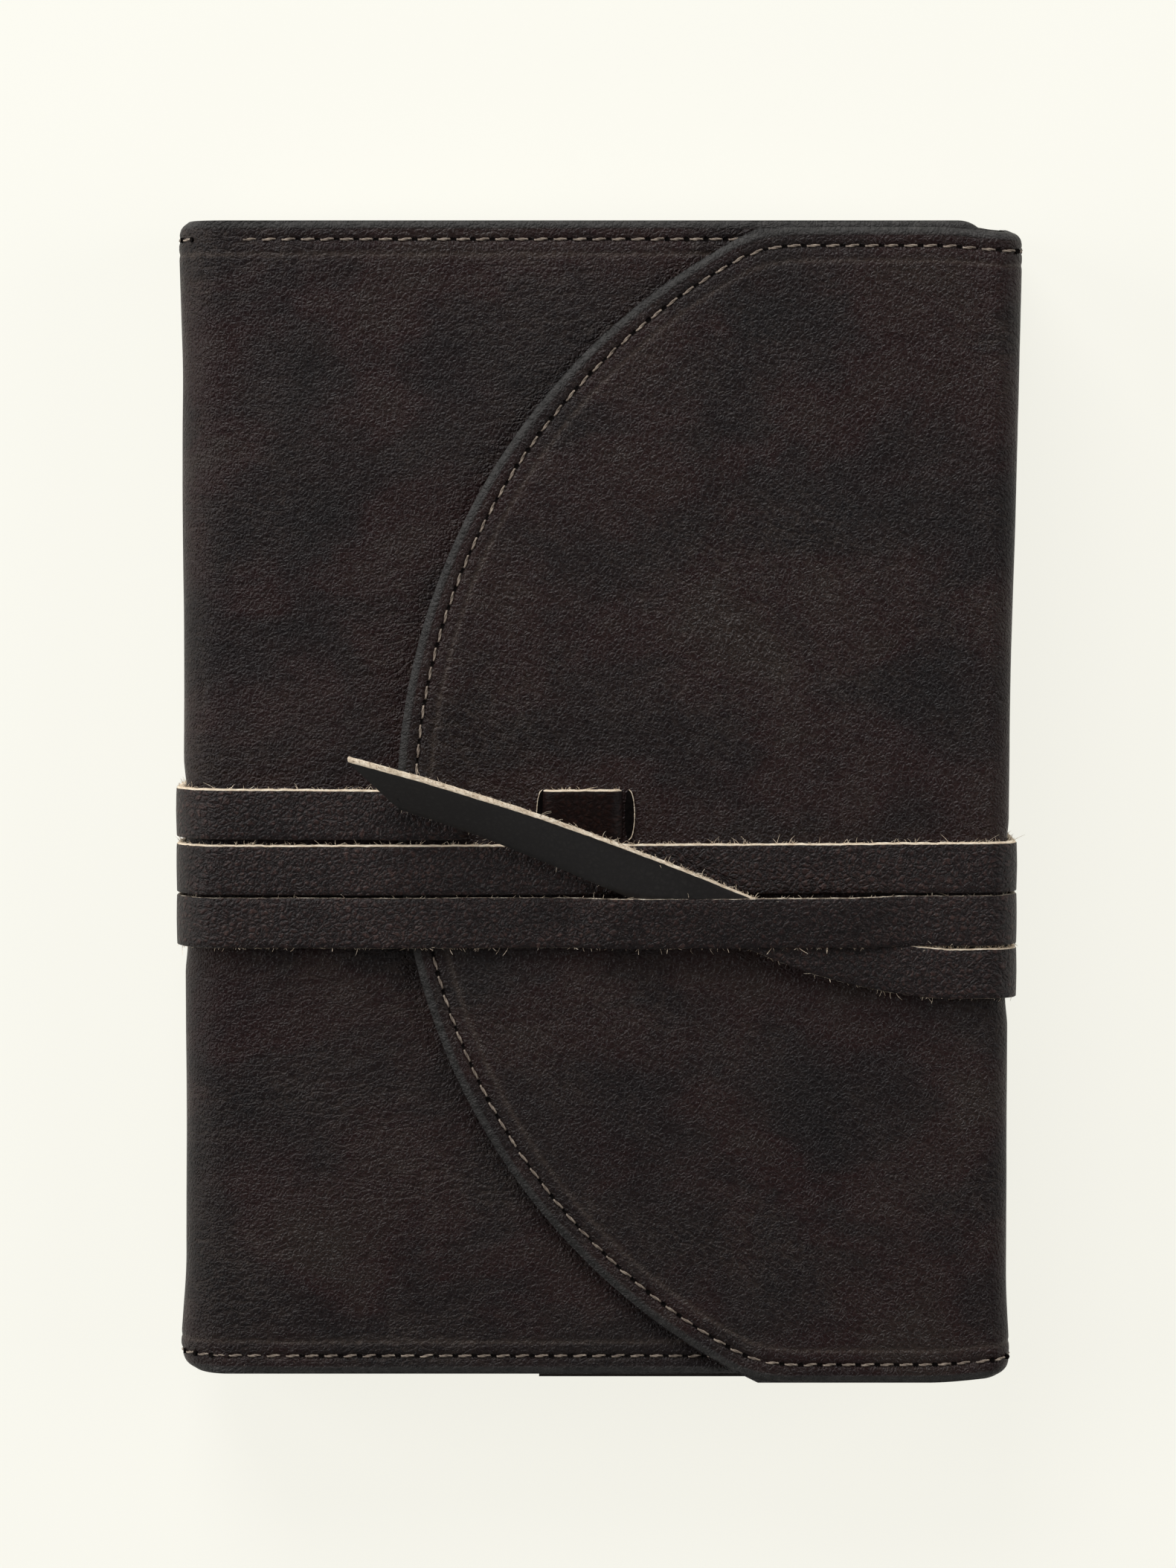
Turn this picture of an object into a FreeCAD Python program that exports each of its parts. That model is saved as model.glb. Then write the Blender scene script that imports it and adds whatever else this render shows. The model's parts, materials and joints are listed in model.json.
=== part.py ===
import FreeCAD, Part
import math
import os

# A soft leather notebook cover with a wrap-round flap and a long wound strap, closed over an A5 notebook.
# It lies on its back: X runs from the spine (-X) to the fore-edge (+X), Y from tail to head, Z up.
# The origin is the bottom centre of the closed object. All sizes are in millimetres.

# Driving dimensions: the shell
HALF_HEIGHT = 111.0
SPINE_X = -80.4            # outer face of the spine wall
FORE_X = 79.2              # outer face of the fore-edge wall
SPINE_BEND = 9.0           # outer radius of the two spine bends
FORE_BEND = 4.5            # outer radius of the two fore-edge bends
LEATHER = 1.4
LINING = 1.0
SEAM_GAP = 0.02            # between glued or sewn layers
BODY_THICKNESS = 24.4      # back leather to front leather, outside to outside
FRONT_FREE_X = 74.6        # free edge of the front panel, under the flap
FRONT_CORNER = 6.0
LINING_INSET = 0.4
LEATHER_SWEEP = 45.0       # each panel ends halfway round its bend
LINING_SWEEP = 37.0        # the lining is cut back at the folds

# Driving dimensions: the flap's curved edge
FLAP_RADIUS = 123.5
FLAP_CENTRE_X = 85.0
FLAP_REST = 0.1            # clearance between the flap and the front panel

# Driving dimensions: the strap
STRAP_WIDTH = 10.0
STRAP = 1.5
STRAP_GAP = 0.05           # between the strap and the leather
STRAND_Y = (-2.3, -12.6, -22.8, -33.1)
SLIT_X = (-26.0, -11.0, 6.6)
SLIT_PLAY = 0.3
SKIVED = 1.0               # thickness of the strap under the flap
ANCHOR_X = 27.0            # sewn end of the strap, under the flap
CROSSING_X = (66.0, -2.0)  # the third strand rides over the tail between these
RAMP = 7.0                 # length of each ramp of that raised stretch
SOFT_BEND = 6.0            # radius of the strap's gentle bends
SPINE_REACH = 0.5          # the strap leaves the flap this far past its edge, towards the spine
CROWN_ROUND = 1.2          # rounding of the strap's bends into the slits
SLIT_OVERLAP = 0.15        # the strap in a slit reaches this far into the bridge
TAIL_RISE = 0.9            # the tail's height at the second stop of its route
# The tail's centre line in plan, from the fore-edge to its cut end.
TAIL_ROUTE = [
    (66.0, -33.1),
    (57.0, -31.6),
    (48.0, -29.5),
    (39.0, -26.8),
    (28.0, -23.0),
    (-31.0, 0.6),
    (-48.0, 7.6),
]
COINCIDENT = 1e-6          # points nearer than this are the same point

# Driving dimensions: the notebook
BLOCK_X = (-75.6, 72.5)
BLOCK_HALF = 105.0
SIGNATURES = 8
SIGNATURE = 1.94
CARD = 0.5
CARD_X = (-71.8, 73.4)
CARD_HALF = 106.0
POCKET_X = -11.4           # mouth of each inner pocket
POCKET_HALF = 110.8
LAYER_GAP = 0.05
BLOCK_PLAY = 0.1

# Driving dimensions: the stitching
STITCH_INSET = 3.6
STITCH_PITCH = 3.7
STITCH_LENGTH = 2.6
STITCH_WIDTH = 0.7
STITCH_HEIGHT = 0.42
GROOVE_WIDTH = 1.0
GROOVE_DEPTH = 0.46

# Worked out from the driving dimensions
BACK_Z = STRAP + STRAP_GAP
FRONT_Z = BACK_Z + BODY_THICKNESS
LINING_TOP = LEATHER + SEAM_GAP + LINING      # depth of the lining's inner face
FLAP_Z = FRONT_Z + FLAP_REST + LINING_TOP
STRAND_Z = FLAP_Z + STRAP_GAP
SPINE_BEND_X = SPINE_X + SPINE_BEND
FORE_BEND_X = FORE_X - FORE_BEND
BACK_SPINE_BEND_Z = BACK_Z + SPINE_BEND
FRONT_SPINE_BEND_Z = FRONT_Z - SPINE_BEND
BACK_FORE_BEND_Z = BACK_Z + FORE_BEND
FLAP_BEND_Z = FLAP_Z - FORE_BEND
FLAP_TIP_X = FLAP_CENTRE_X - FLAP_RADIUS
TAIL_Z = STRAND_Z + STRAP + STRAP_GAP
BRIDGE_Z = TAIL_Z + STRAP + STRAP_GAP
LEATHER_LAYER = (0.0, LEATHER)
LINING_LAYER = (LEATHER + SEAM_GAP, LINING_TOP)
STITCH_ROW_Y = HALF_HEIGHT - STITCH_INSET


def box(low_x, high_x, low_y, high_y, low_z, high_z):
    """Return a block between two opposite corners."""
    corner = FreeCAD.Vector(low_x, low_y, low_z)
    return Part.makeBox(high_x - low_x, high_y - low_y, high_z - low_z, corner)


def joined(*solids):
    """Return one solid made of touching solids."""
    return solids[0].multiFuse(list(solids[1:])).removeSplitter()


def arc(first, middle, last):
    """Return an arc edge through three points."""
    return Part.Arc(first, middle, last).toShape()


def line(first, last):
    """Return a straight edge."""
    return Part.LineSegment(first, last).toShape()


def prism(edges, travel):
    """Return the solid swept by the face that the edges close, moved along a vector."""
    return Part.Face(Part.Wire(edges)).extrude(travel)


def bend(centre_x, centre_z, radius, layer, start, end, half):
    """Return a layer bent round an axis along Y, between two angles measured from +X towards +Z."""
    def at(distance, angle):
        turn = math.radians(angle)
        across = centre_x + distance * math.cos(turn)
        return FreeCAD.Vector(across, -half, centre_z + distance * math.sin(turn))

    outer = radius - layer[0]
    inner = radius - layer[1]
    middle = (start + end) / 2
    edges = [
        arc(at(outer, start), at(outer, middle), at(outer, end)),
        line(at(outer, end), at(inner, end)),
        arc(at(inner, end), at(inner, middle), at(inner, start)),
        line(at(inner, start), at(outer, start)),
    ]
    return prism(edges, FreeCAD.Vector(0, 2 * half, 0))


# ---- plan outlines ----

def flap_edges(inset, height):
    """Return the flap's outline in plan, a rectangle whose free side is one long arc, moved inwards."""
    half = HALF_HEIGHT - inset
    radius = FLAP_RADIUS - inset
    corner_x = FLAP_CENTRE_X - math.sqrt(radius ** 2 - half ** 2)
    head = FreeCAD.Vector(corner_x, half, height)
    tail = FreeCAD.Vector(corner_x, -half, height)
    tip = FreeCAD.Vector(FLAP_CENTRE_X - radius, 0, height)
    hinge_head = FreeCAD.Vector(FORE_BEND_X, half, height)
    hinge_tail = FreeCAD.Vector(FORE_BEND_X, -half, height)
    return [
        line(hinge_head, head),
        arc(head, tip, tail),
        line(tail, hinge_tail),
        line(hinge_tail, hinge_head),
    ]


def rounded_free_edge(low_x, high_x, half, corner, height):
    """Return a rectangle's outline in plan with its two corners at high X rounded."""
    def at(x, y):
        return FreeCAD.Vector(x, y, height)

    slack = corner * (1 - math.sqrt(0.5))
    return [
        line(at(low_x, -half), at(high_x - corner, -half)),
        arc(at(high_x - corner, -half), at(high_x - slack, -half + slack), at(high_x, -half + corner)),
        line(at(high_x, -half + corner), at(high_x, half - corner)),
        arc(at(high_x, half - corner), at(high_x - slack, half - slack), at(high_x - corner, half)),
        line(at(high_x - corner, half), at(low_x, half)),
        line(at(low_x, half), at(low_x, -half)),
    ]


# ---- the shell: five panels, each in leather and lining ----

def back_panel(layer, sweep, inset):
    """Return the flat back with half of the spine bend and half of the fore-edge bend."""
    half = HALF_HEIGHT - inset
    plate = box(SPINE_BEND_X, FORE_BEND_X, -half, half, BACK_Z + layer[0], BACK_Z + layer[1])
    spine_side = bend(SPINE_BEND_X, BACK_SPINE_BEND_Z, SPINE_BEND, layer, 270 - sweep, 270, half)
    fore_side = bend(FORE_BEND_X, BACK_FORE_BEND_Z, FORE_BEND, layer, 270, 270 + sweep, half)
    return joined(plate, spine_side, fore_side)


def spine_panel(layer, sweep, inset):
    """Return the upright spine wall with half a bend at each end."""
    half = HALF_HEIGHT - inset
    wall = box(SPINE_X + layer[0], SPINE_X + layer[1], -half, half, BACK_SPINE_BEND_Z, FRONT_SPINE_BEND_Z)
    low = bend(SPINE_BEND_X, BACK_SPINE_BEND_Z, SPINE_BEND, layer, 180, 180 + sweep, half)
    high = bend(SPINE_BEND_X, FRONT_SPINE_BEND_Z, SPINE_BEND, layer, 180 - sweep, 180, half)
    return joined(wall, low, high)


def front_panel(layer, sweep, inset):
    """Return the flat front, free at its fore-edge with rounded corners, with half of the spine bend."""
    half = HALF_HEIGHT - inset
    low_z = FRONT_Z - layer[1]
    outline = rounded_free_edge(SPINE_BEND_X, FRONT_FREE_X - inset, half, FRONT_CORNER, low_z)
    plate = prism(outline, FreeCAD.Vector(0, 0, layer[1] - layer[0]))
    spine_side = bend(SPINE_BEND_X, FRONT_SPINE_BEND_Z, SPINE_BEND, layer, 90, 90 + sweep, half)
    return joined(plate, spine_side)


def fore_edge_panel(layer, sweep, inset):
    """Return the upright fore-edge wall with half a bend at each end."""
    half = HALF_HEIGHT - inset
    wall = box(FORE_X - layer[1], FORE_X - layer[0], -half, half, BACK_FORE_BEND_Z, FLAP_BEND_Z)
    low = bend(FORE_BEND_X, BACK_FORE_BEND_Z, FORE_BEND, layer, 360 - sweep, 360, half)
    high = bend(FORE_BEND_X, FLAP_BEND_Z, FORE_BEND, layer, 0, sweep, half)
    return joined(wall, low, high)


def flap_panel(layer, sweep, inset):
    """Return the flap, cut to one long arc, with half of the fore-edge bend."""
    low_z = FLAP_Z - layer[1]
    plate = prism(flap_edges(inset, low_z), FreeCAD.Vector(0, 0, layer[1] - layer[0]))
    fore_side = bend(FORE_BEND_X, FLAP_BEND_Z, FORE_BEND, layer, 90 - sweep, 90, HALF_HEIGHT - inset)
    return joined(plate, fore_side)


# ---- stitching: rows of short stitches, each lying in a pressed groove ----

def stitch(place, along, outwards):
    """Return one round-ended stitch, lying at a place, long one way and standing outwards."""
    reach = (STITCH_LENGTH - STITCH_WIDTH) / 2
    radius = STITCH_WIDTH / 2

    def at(x, y):
        return FreeCAD.Vector(x, y, 0)

    edges = [
        line(at(-reach, -radius), at(reach, -radius)),
        arc(at(reach, -radius), at(reach + radius, 0), at(reach, radius)),
        line(at(reach, radius), at(-reach, radius)),
        arc(at(-reach, radius), at(-reach - radius, 0), at(-reach, -radius)),
    ]
    solid = prism(edges, FreeCAD.Vector(0, 0, STITCH_HEIGHT))
    across = outwards.cross(along)
    turn = FreeCAD.Rotation(along, across, outwards, "ZXY")
    solid.Placement = FreeCAD.Placement(place, turn)
    return solid


def straight_row(first, last, outwards):
    """Return evenly spaced stitches between two points on a groove's floor."""
    run = last - first
    count = int(run.Length / STITCH_PITCH)
    along = FreeCAD.Vector(run).normalize()
    start = first + along * ((run.Length - (count - 1) * STITCH_PITCH) / 2)
    return [stitch(start + along * (STITCH_PITCH * n), along, outwards) for n in range(count)]


def arc_row(height):
    """Return evenly spaced stitches along the flap's curved edge."""
    radius = FLAP_RADIUS - STITCH_INSET
    half_angle = math.asin(STITCH_ROW_Y / radius)
    count = int(2 * half_angle * radius / STITCH_PITCH)
    stitches = []
    for n in range(count):
        angle = math.pi + half_angle * ((2 * n + 1) / count - 1)
        place = FreeCAD.Vector(FLAP_CENTRE_X + radius * math.cos(angle), radius * math.sin(angle), height)
        along = FreeCAD.Vector(-math.sin(angle), math.cos(angle), 0)
        stitches.append(stitch(place, along, FreeCAD.Vector(0, 0, 1)))
    return stitches


def plate_rows(low_x, high_x, surface_z, upwards):
    """Return the head and tail grooves of a flat panel, and the stitches that lie in them."""
    floor_z = surface_z - upwards * GROOVE_DEPTH
    low_z, high_z = sorted((floor_z, surface_z))
    grooves = []
    stitches = []
    for side in (-1, 1):
        row_y = side * STITCH_ROW_Y
        low_y = row_y - GROOVE_WIDTH / 2
        high_y = row_y + GROOVE_WIDTH / 2
        grooves.append(box(low_x, high_x, low_y, high_y, low_z, high_z))
        rest_z = floor_z + upwards * SEAM_GAP
        first = FreeCAD.Vector(low_x, row_y, rest_z)
        last = FreeCAD.Vector(high_x, row_y, rest_z)
        stitches += straight_row(first, last, FreeCAD.Vector(0, 0, upwards))
    return grooves, stitches


def wall_rows(low_z, high_z, surface_x, outwards):
    """Return the head and tail grooves of an upright wall, and the stitches that lie in them."""
    floor_x = surface_x - outwards * GROOVE_DEPTH
    low_x, high_x = sorted((floor_x, surface_x))
    grooves = []
    stitches = []
    for side in (-1, 1):
        row_y = side * STITCH_ROW_Y
        low_y = row_y - GROOVE_WIDTH / 2
        high_y = row_y + GROOVE_WIDTH / 2
        grooves.append(box(low_x, high_x, low_y, high_y, low_z, high_z))
        rest_x = floor_x + outwards * SEAM_GAP
        first = FreeCAD.Vector(rest_x, row_y, low_z)
        last = FreeCAD.Vector(rest_x, row_y, high_z)
        stitches += straight_row(first, last, FreeCAD.Vector(outwards, 0, 0))
    return grooves, stitches


def free_edge_column():
    """Return the groove and stitches down the front panel's free edge."""
    row_x = FRONT_FREE_X - STITCH_INSET
    floor_z = FRONT_Z - GROOVE_DEPTH
    reach = STITCH_ROW_Y - STITCH_PITCH
    groove = box(row_x - GROOVE_WIDTH / 2, row_x + GROOVE_WIDTH / 2, -reach, reach, floor_z, FRONT_Z)
    first = FreeCAD.Vector(row_x, -reach, floor_z + SEAM_GAP)
    last = FreeCAD.Vector(row_x, reach, floor_z + SEAM_GAP)
    return [groove], straight_row(first, last, FreeCAD.Vector(0, 0, 1))


def flap_rows():
    """Return the flap's groove, round its arc and along its head and tail, and the stitches in it."""
    floor_z = FLAP_Z - GROOVE_DEPTH
    travel = FreeCAD.Vector(0, 0, GROOVE_DEPTH)
    outside = prism(flap_edges(STITCH_INSET - GROOVE_WIDTH / 2, floor_z), travel)
    inside = prism(flap_edges(STITCH_INSET + GROOVE_WIDTH / 2, floor_z), travel)
    groove = outside.cut(inside)
    rest_z = floor_z + SEAM_GAP
    radius = FLAP_RADIUS - STITCH_INSET
    corner_x = FLAP_CENTRE_X - math.sqrt(radius ** 2 - STITCH_ROW_Y ** 2)
    stitches = arc_row(rest_z)
    for side in (-1, 1):
        first = FreeCAD.Vector(corner_x, side * STITCH_ROW_Y, rest_z)
        last = FreeCAD.Vector(FORE_BEND_X, side * STITCH_ROW_Y, rest_z)
        stitches += straight_row(first, last, FreeCAD.Vector(0, 0, 1))
    return [groove], stitches


# ---- the strap ----

def strap_solid(points, radii, centre_y):
    """Return a strap whose inner face follows straight runs joined by tangent arcs, in the XZ plane."""
    def at(point, offset, normal):
        side = centre_y - STRAP_WIDTH / 2
        return FreeCAD.Vector(point[0] + offset * normal[0], side, point[1] + offset * normal[1])

    stops = [(points[0], None)]
    for before, corner, after, radius in zip(points, points[1:], points[2:], radii):
        arrive = unit(before, corner)
        leave = unit(corner, after)
        cross = arrive[0] * leave[1] - arrive[1] * leave[0]
        dot = arrive[0] * leave[0] + arrive[1] * leave[1]
        turn = math.atan2(cross, dot)
        tangent = radius * math.tan(abs(turn) / 2)
        first = (corner[0] - arrive[0] * tangent, corner[1] - arrive[1] * tangent)
        last = (corner[0] + leave[0] * tangent, corner[1] + leave[1] * tangent)
        stops += [(first, (radius, turn, arrive)), (last, None)]
    stops.append((points[-1], None))

    def offset_edges(offset):
        edges = []
        for (point, bent), (following, _) in zip(stops, stops[1:]):
            if bent is None and math.dist(point, following) < COINCIDENT:
                continue
            if bent is None:
                normal = outward(unit(point, following))
                edges.append(line(at(point, offset, normal), at(following, offset, normal)))
                continue
            radius, turn, arrive = bent
            start = outward(arrive)
            side = math.copysign(1.0, turn)
            centre = (point[0] - side * radius * start[0], point[1] - side * radius * start[1])
            reach = side * radius + offset
            middle, end = rotated(start, turn / 2), rotated(start, turn)
            edges.append(arc(at(centre, reach, start), at(centre, reach, middle), at(centre, reach, end)))
        return edges

    inner = offset_edges(0.0)
    outer = offset_edges(STRAP)
    caps = [
        line(inner[0].Vertexes[0].Point, outer[0].Vertexes[0].Point),
        line(inner[-1].Vertexes[-1].Point, outer[-1].Vertexes[-1].Point),
    ]
    wire = Part.Wire(Part.__sortEdges__(inner + outer + caps))
    return Part.Face(wire).extrude(FreeCAD.Vector(0, STRAP_WIDTH, 0))


def unit(first, last):
    """Return the direction between two points in the XZ plane."""
    length = math.hypot(last[0] - first[0], last[1] - first[1])
    return ((last[0] - first[0]) / length, (last[1] - first[1]) / length)


def outward(direction):
    """Return the side away from the book, for a strap that goes round it from back to front."""
    return (direction[1], -direction[0])


def rotated(direction, turn):
    """Return a direction in the XZ plane, turned."""
    cosine, sine = math.cos(turn), math.sin(turn)
    return (direction[0] * cosine - direction[1] * sine, direction[0] * sine + direction[1] * cosine)


def spine_side_points():
    """Return the strap's corners from the flap's edge down over the spine to the back."""
    edge_x = FLAP_TIP_X - SPINE_REACH
    reach = edge_x - SPINE_BEND_X
    rise = STRAND_Z - FRONT_SPINE_BEND_Z
    slope = math.atan2(rise, reach) - math.asin((SPINE_BEND + STRAP_GAP) / math.hypot(reach, rise))
    side_x = SPINE_X - STRAP_GAP
    corner_z = STRAND_Z - (edge_x - side_x) * math.tan(slope)
    return [(edge_x, STRAND_Z), (side_x, corner_z), (side_x, STRAP), (SPINE_BEND_X, STRAP)]


def fore_side_points():
    """Return the strap's corners from the back up over the fore-edge."""
    side_x = FORE_X + STRAP_GAP
    return [(FORE_BEND_X, STRAP), (side_x, STRAP), (side_x, STRAND_Z)]


SPINE_RADII = [SOFT_BEND, SPINE_BEND + STRAP_GAP, SPINE_BEND + STRAP_GAP]
FORE_RADII = [FORE_BEND + STRAP_GAP, FORE_BEND + STRAP_GAP]


def first_turn():
    """Return the strap from the last slit to the spine and round to the back."""
    start = (SLIT_X[0] + STRAP / 2, STRAND_Z)
    return strap_solid([start] + spine_side_points(), SPINE_RADII, STRAND_Y[0])


def second_turn():
    """Return the strap up the fore-edge, across the front and down the spine."""
    return strap_solid(fore_side_points() + spine_side_points(), FORE_RADII + SPINE_RADII, STRAND_Y[1])


def third_turn():
    """Return the next turn, raised where it rides over the tail."""
    high_x, low_x = CROSSING_X
    bridge = [
        (high_x + RAMP, STRAND_Z),
        (high_x, BRIDGE_Z),
        (low_x, BRIDGE_Z),
        (low_x - RAMP, STRAND_Z),
    ]
    radii = FORE_RADII + [SOFT_BEND] * 4 + SPINE_RADII
    return strap_solid(fore_side_points() + bridge + spine_side_points(), radii, STRAND_Y[2])


def strap_section(x, y, low_z, heading):
    """Return the strap's rectangular section at a place, square to its heading in plan."""
    side = FreeCAD.Vector(-math.sin(heading), math.cos(heading), 0) * (STRAP_WIDTH / 2)
    low = FreeCAD.Vector(x, y, low_z)
    high = FreeCAD.Vector(x, y, low_z + STRAP)
    corners = [low - side, low + side, high + side, high - side]
    return Part.makePolygon(corners + corners[:1])


def tail():
    """Return the strap's last run: up the fore-edge, under the third turn and out over the other two."""
    start_x = TAIL_ROUTE[0][0]
    rising = strap_solid(fore_side_points() + [(start_x, STRAND_Z)], FORE_RADII, STRAND_Y[3])
    levels = [STRAND_Z, STRAND_Z + TAIL_RISE] + [TAIL_Z] * (len(TAIL_ROUTE) - 2)
    sections = []
    for n, ((x, y), low_z) in enumerate(zip(TAIL_ROUTE, levels)):
        before = TAIL_ROUTE[max(n - 1, 0)]
        after = TAIL_ROUTE[min(n + 1, len(TAIL_ROUTE) - 1)]
        heading = math.atan2(after[1] - before[1], after[0] - before[0]) if n else math.pi
        sections.append(strap_section(x, y, low_z, heading))
    diagonal = Part.makeLoft(sections, True, True)
    return joined(rising, diagonal)


def back_runs():
    """Return the three slanting runs of the strap across the back, which the closed object lies on."""
    runs = []
    for left_y, right_y in zip(STRAND_Y, STRAND_Y[1:]):
        half = STRAP_WIDTH / 2
        corners = [
            FreeCAD.Vector(SPINE_BEND_X, left_y - half, 0),
            FreeCAD.Vector(FORE_BEND_X, right_y - half, 0),
            FreeCAD.Vector(FORE_BEND_X, right_y + half, 0),
            FreeCAD.Vector(SPINE_BEND_X, left_y + half, 0),
        ]
        outline = Part.Face(Part.makePolygon(corners + corners[:1]))
        runs.append(outline.extrude(FreeCAD.Vector(0, 0, STRAP)))
    return Part.makeCompound(runs)


def lacing():
    """Return the strap's first stretch: sewn under the flap, out, over, in, along and up the last slit."""
    low_y = STRAND_Y[0] - STRAP_WIDTH / 2
    high_y = STRAND_Y[0] + STRAP_WIDTH / 2
    half = STRAP / 2
    under_z = FLAP_Z - LINING_TOP
    last, inner, outer = SLIT_X
    bridge = box(inner - half, outer + half, low_y, high_y, STRAND_Z, STRAND_Z + STRAP)
    crowns = [e for e in bridge.Edges if is_crown(e, STRAND_Z + STRAP)]
    bridge = bridge.makeFillet(CROWN_ROUND, crowns)
    return joined(
        bridge,
        box(last - half, last + half, low_y, high_y, under_z, FLAP_Z + STRAP_GAP / 2),
        box(inner - half, inner + half, low_y, high_y, under_z, STRAND_Z + SLIT_OVERLAP),
        box(outer - half, outer + half, low_y, high_y, under_z, STRAND_Z + SLIT_OVERLAP),
        box(last - half, inner + half, low_y, high_y, under_z, under_z + SKIVED),
        box(outer - half, ANCHOR_X, low_y, high_y, under_z, under_z + SKIVED),
    )


def is_crown(edge, top_z):
    """Tell whether an edge runs along Y at the top of the bridge."""
    ends = [vertex.Point for vertex in edge.Vertexes]
    return all(abs(p.z - top_z) < COINCIDENT for p in ends) and abs(ends[0].x - ends[1].x) < COINCIDENT


def slits():
    """Return the three slits through the flap leather."""
    half = (STRAP + SLIT_PLAY) / 2
    low_y = STRAND_Y[0] - (STRAP_WIDTH + SLIT_PLAY) / 2
    high_y = STRAND_Y[0] + (STRAP_WIDTH + SLIT_PLAY) / 2
    return [box(x - half, x + half, low_y, high_y, FLAP_Z - LEATHER, FLAP_Z) for x in SLIT_X]


def lining_window():
    """Return the cut-out of the flap lining that the strap lies in."""
    low_x = SLIT_X[0] - STRAP
    high_x = ANCHOR_X + STRAP
    low_y = STRAND_Y[0] - STRAP_WIDTH / 2 - STRAP / 2
    high_y = STRAND_Y[0] + STRAP_WIDTH / 2 + STRAP / 2
    return box(low_x, high_x, low_y, high_y, FLAP_Z - LINING_TOP, FLAP_Z - LEATHER)


# ---- the notebook and the pockets that hold it ----

def pocket(low_z):
    """Return an inner pocket, open towards the spine."""
    free_x = FRONT_FREE_X - LINING_INSET
    outline = rounded_free_edge(POCKET_X, free_x, POCKET_HALF, FRONT_CORNER, low_z)
    return prism(outline, FreeCAD.Vector(0, 0, LINING))


def card(low_z):
    """Return one card cover of the notebook, slid into a pocket."""
    low_x, high_x = CARD_X
    outline = rounded_free_edge(low_x, high_x, CARD_HALF, FRONT_CORNER / 2, low_z)
    return prism(outline, FreeCAD.Vector(0, 0, CARD))


def signature(low_z):
    """Return one folded signature, with its round fold at the spine."""
    low_x, high_x = BLOCK_X
    radius = SIGNATURE / 2

    def at(x, z):
        return FreeCAD.Vector(x, -BLOCK_HALF, low_z + z)

    edges = [
        line(at(low_x + radius, 0), at(high_x, 0)),
        line(at(high_x, 0), at(high_x, SIGNATURE)),
        line(at(high_x, SIGNATURE), at(low_x + radius, SIGNATURE)),
        arc(at(low_x + radius, SIGNATURE), at(low_x, radius), at(low_x + radius, 0)),
    ]
    return prism(edges, FreeCAD.Vector(0, 2 * BLOCK_HALF, 0))


def notebook_nodes():
    """Return the cards, pockets and signatures by name."""
    card_depth = LINING_TOP + LAYER_GAP
    pocket_depth = card_depth + CARD + LAYER_GAP
    block_depth = pocket_depth + LINING + BLOCK_PLAY
    nodes = {
        "notebook_back_card": card(BACK_Z + card_depth),
        "notebook_front_card": card(FRONT_Z - card_depth - CARD),
        "pocket_back": pocket(BACK_Z + pocket_depth),
        "pocket_front": pocket(FRONT_Z - pocket_depth - LINING),
    }
    room = BODY_THICKNESS - 2 * block_depth
    pitch = room / SIGNATURES
    for n in range(SIGNATURES):
        low_z = BACK_Z + block_depth + pitch * n + (pitch - SIGNATURE) / 2
        nodes[f"signature_{n + 1}"] = signature(low_z)
    return nodes


def shell_nodes():
    """Return the leather, lining and stitching of each panel by name."""
    panels = {
        "back": (back_panel, [plate_rows(SPINE_BEND_X, FORE_BEND_X, BACK_Z, -1)]),
        "spine": (spine_panel, [wall_rows(BACK_SPINE_BEND_Z, FRONT_SPINE_BEND_Z, SPINE_X, -1)]),
        "front": (front_panel, [plate_rows(SPINE_BEND_X, FRONT_FREE_X - STITCH_INSET, FRONT_Z, 1),
                                free_edge_column()]),
        "fore_edge": (fore_edge_panel, [wall_rows(BACK_FORE_BEND_Z, FLAP_BEND_Z, FORE_X, 1)]),
        "flap": (flap_panel, [flap_rows()]),
    }
    nodes = {}
    for name, (panel, rows) in panels.items():
        leather = panel(LEATHER_LAYER, LEATHER_SWEEP, 0.0)
        lining = panel(LINING_LAYER, LINING_SWEEP, LINING_INSET)
        grooves = [groove for row in rows for groove in row[0]]
        if name == "flap":
            grooves += slits()
            lining = lining.cut(lining_window())
        nodes[f"leather_{name}"] = leather.cut(Part.makeCompound(grooves))
        nodes[f"lining_{name}"] = lining
        nodes[f"stitching_{name}"] = Part.makeCompound([one for row in rows for one in row[1]])
    return nodes


def strap_nodes():
    """Return the strap's stretches by name."""
    return {
        "strap_lacing": lacing(),
        "strap_turn_1": first_turn(),
        "strap_turn_2": second_turn(),
        "strap_turn_3": third_turn(),
        "strap_tail": tail(),
        "strap_back_runs": back_runs(),
    }


def main():
    os.makedirs("parts", exist_ok=True)
    nodes = {**shell_nodes(), **strap_nodes(), **notebook_nodes()}
    for name, shape in nodes.items():
        shape.exportStep(f"parts/{name}.step")
        size = shape.BoundBox
        print(f"{name}: {len(shape.Solids)} solids, valid {shape.isValid()}, "
              f"{size.XLength:.2f} x {size.YLength:.2f} x {size.ZLength:.2f}, "
              f"z {size.ZMin:.2f} to {size.ZMax:.2f}, {shape.Volume:.0f} mm3")


main()
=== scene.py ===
import json
import math

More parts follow.
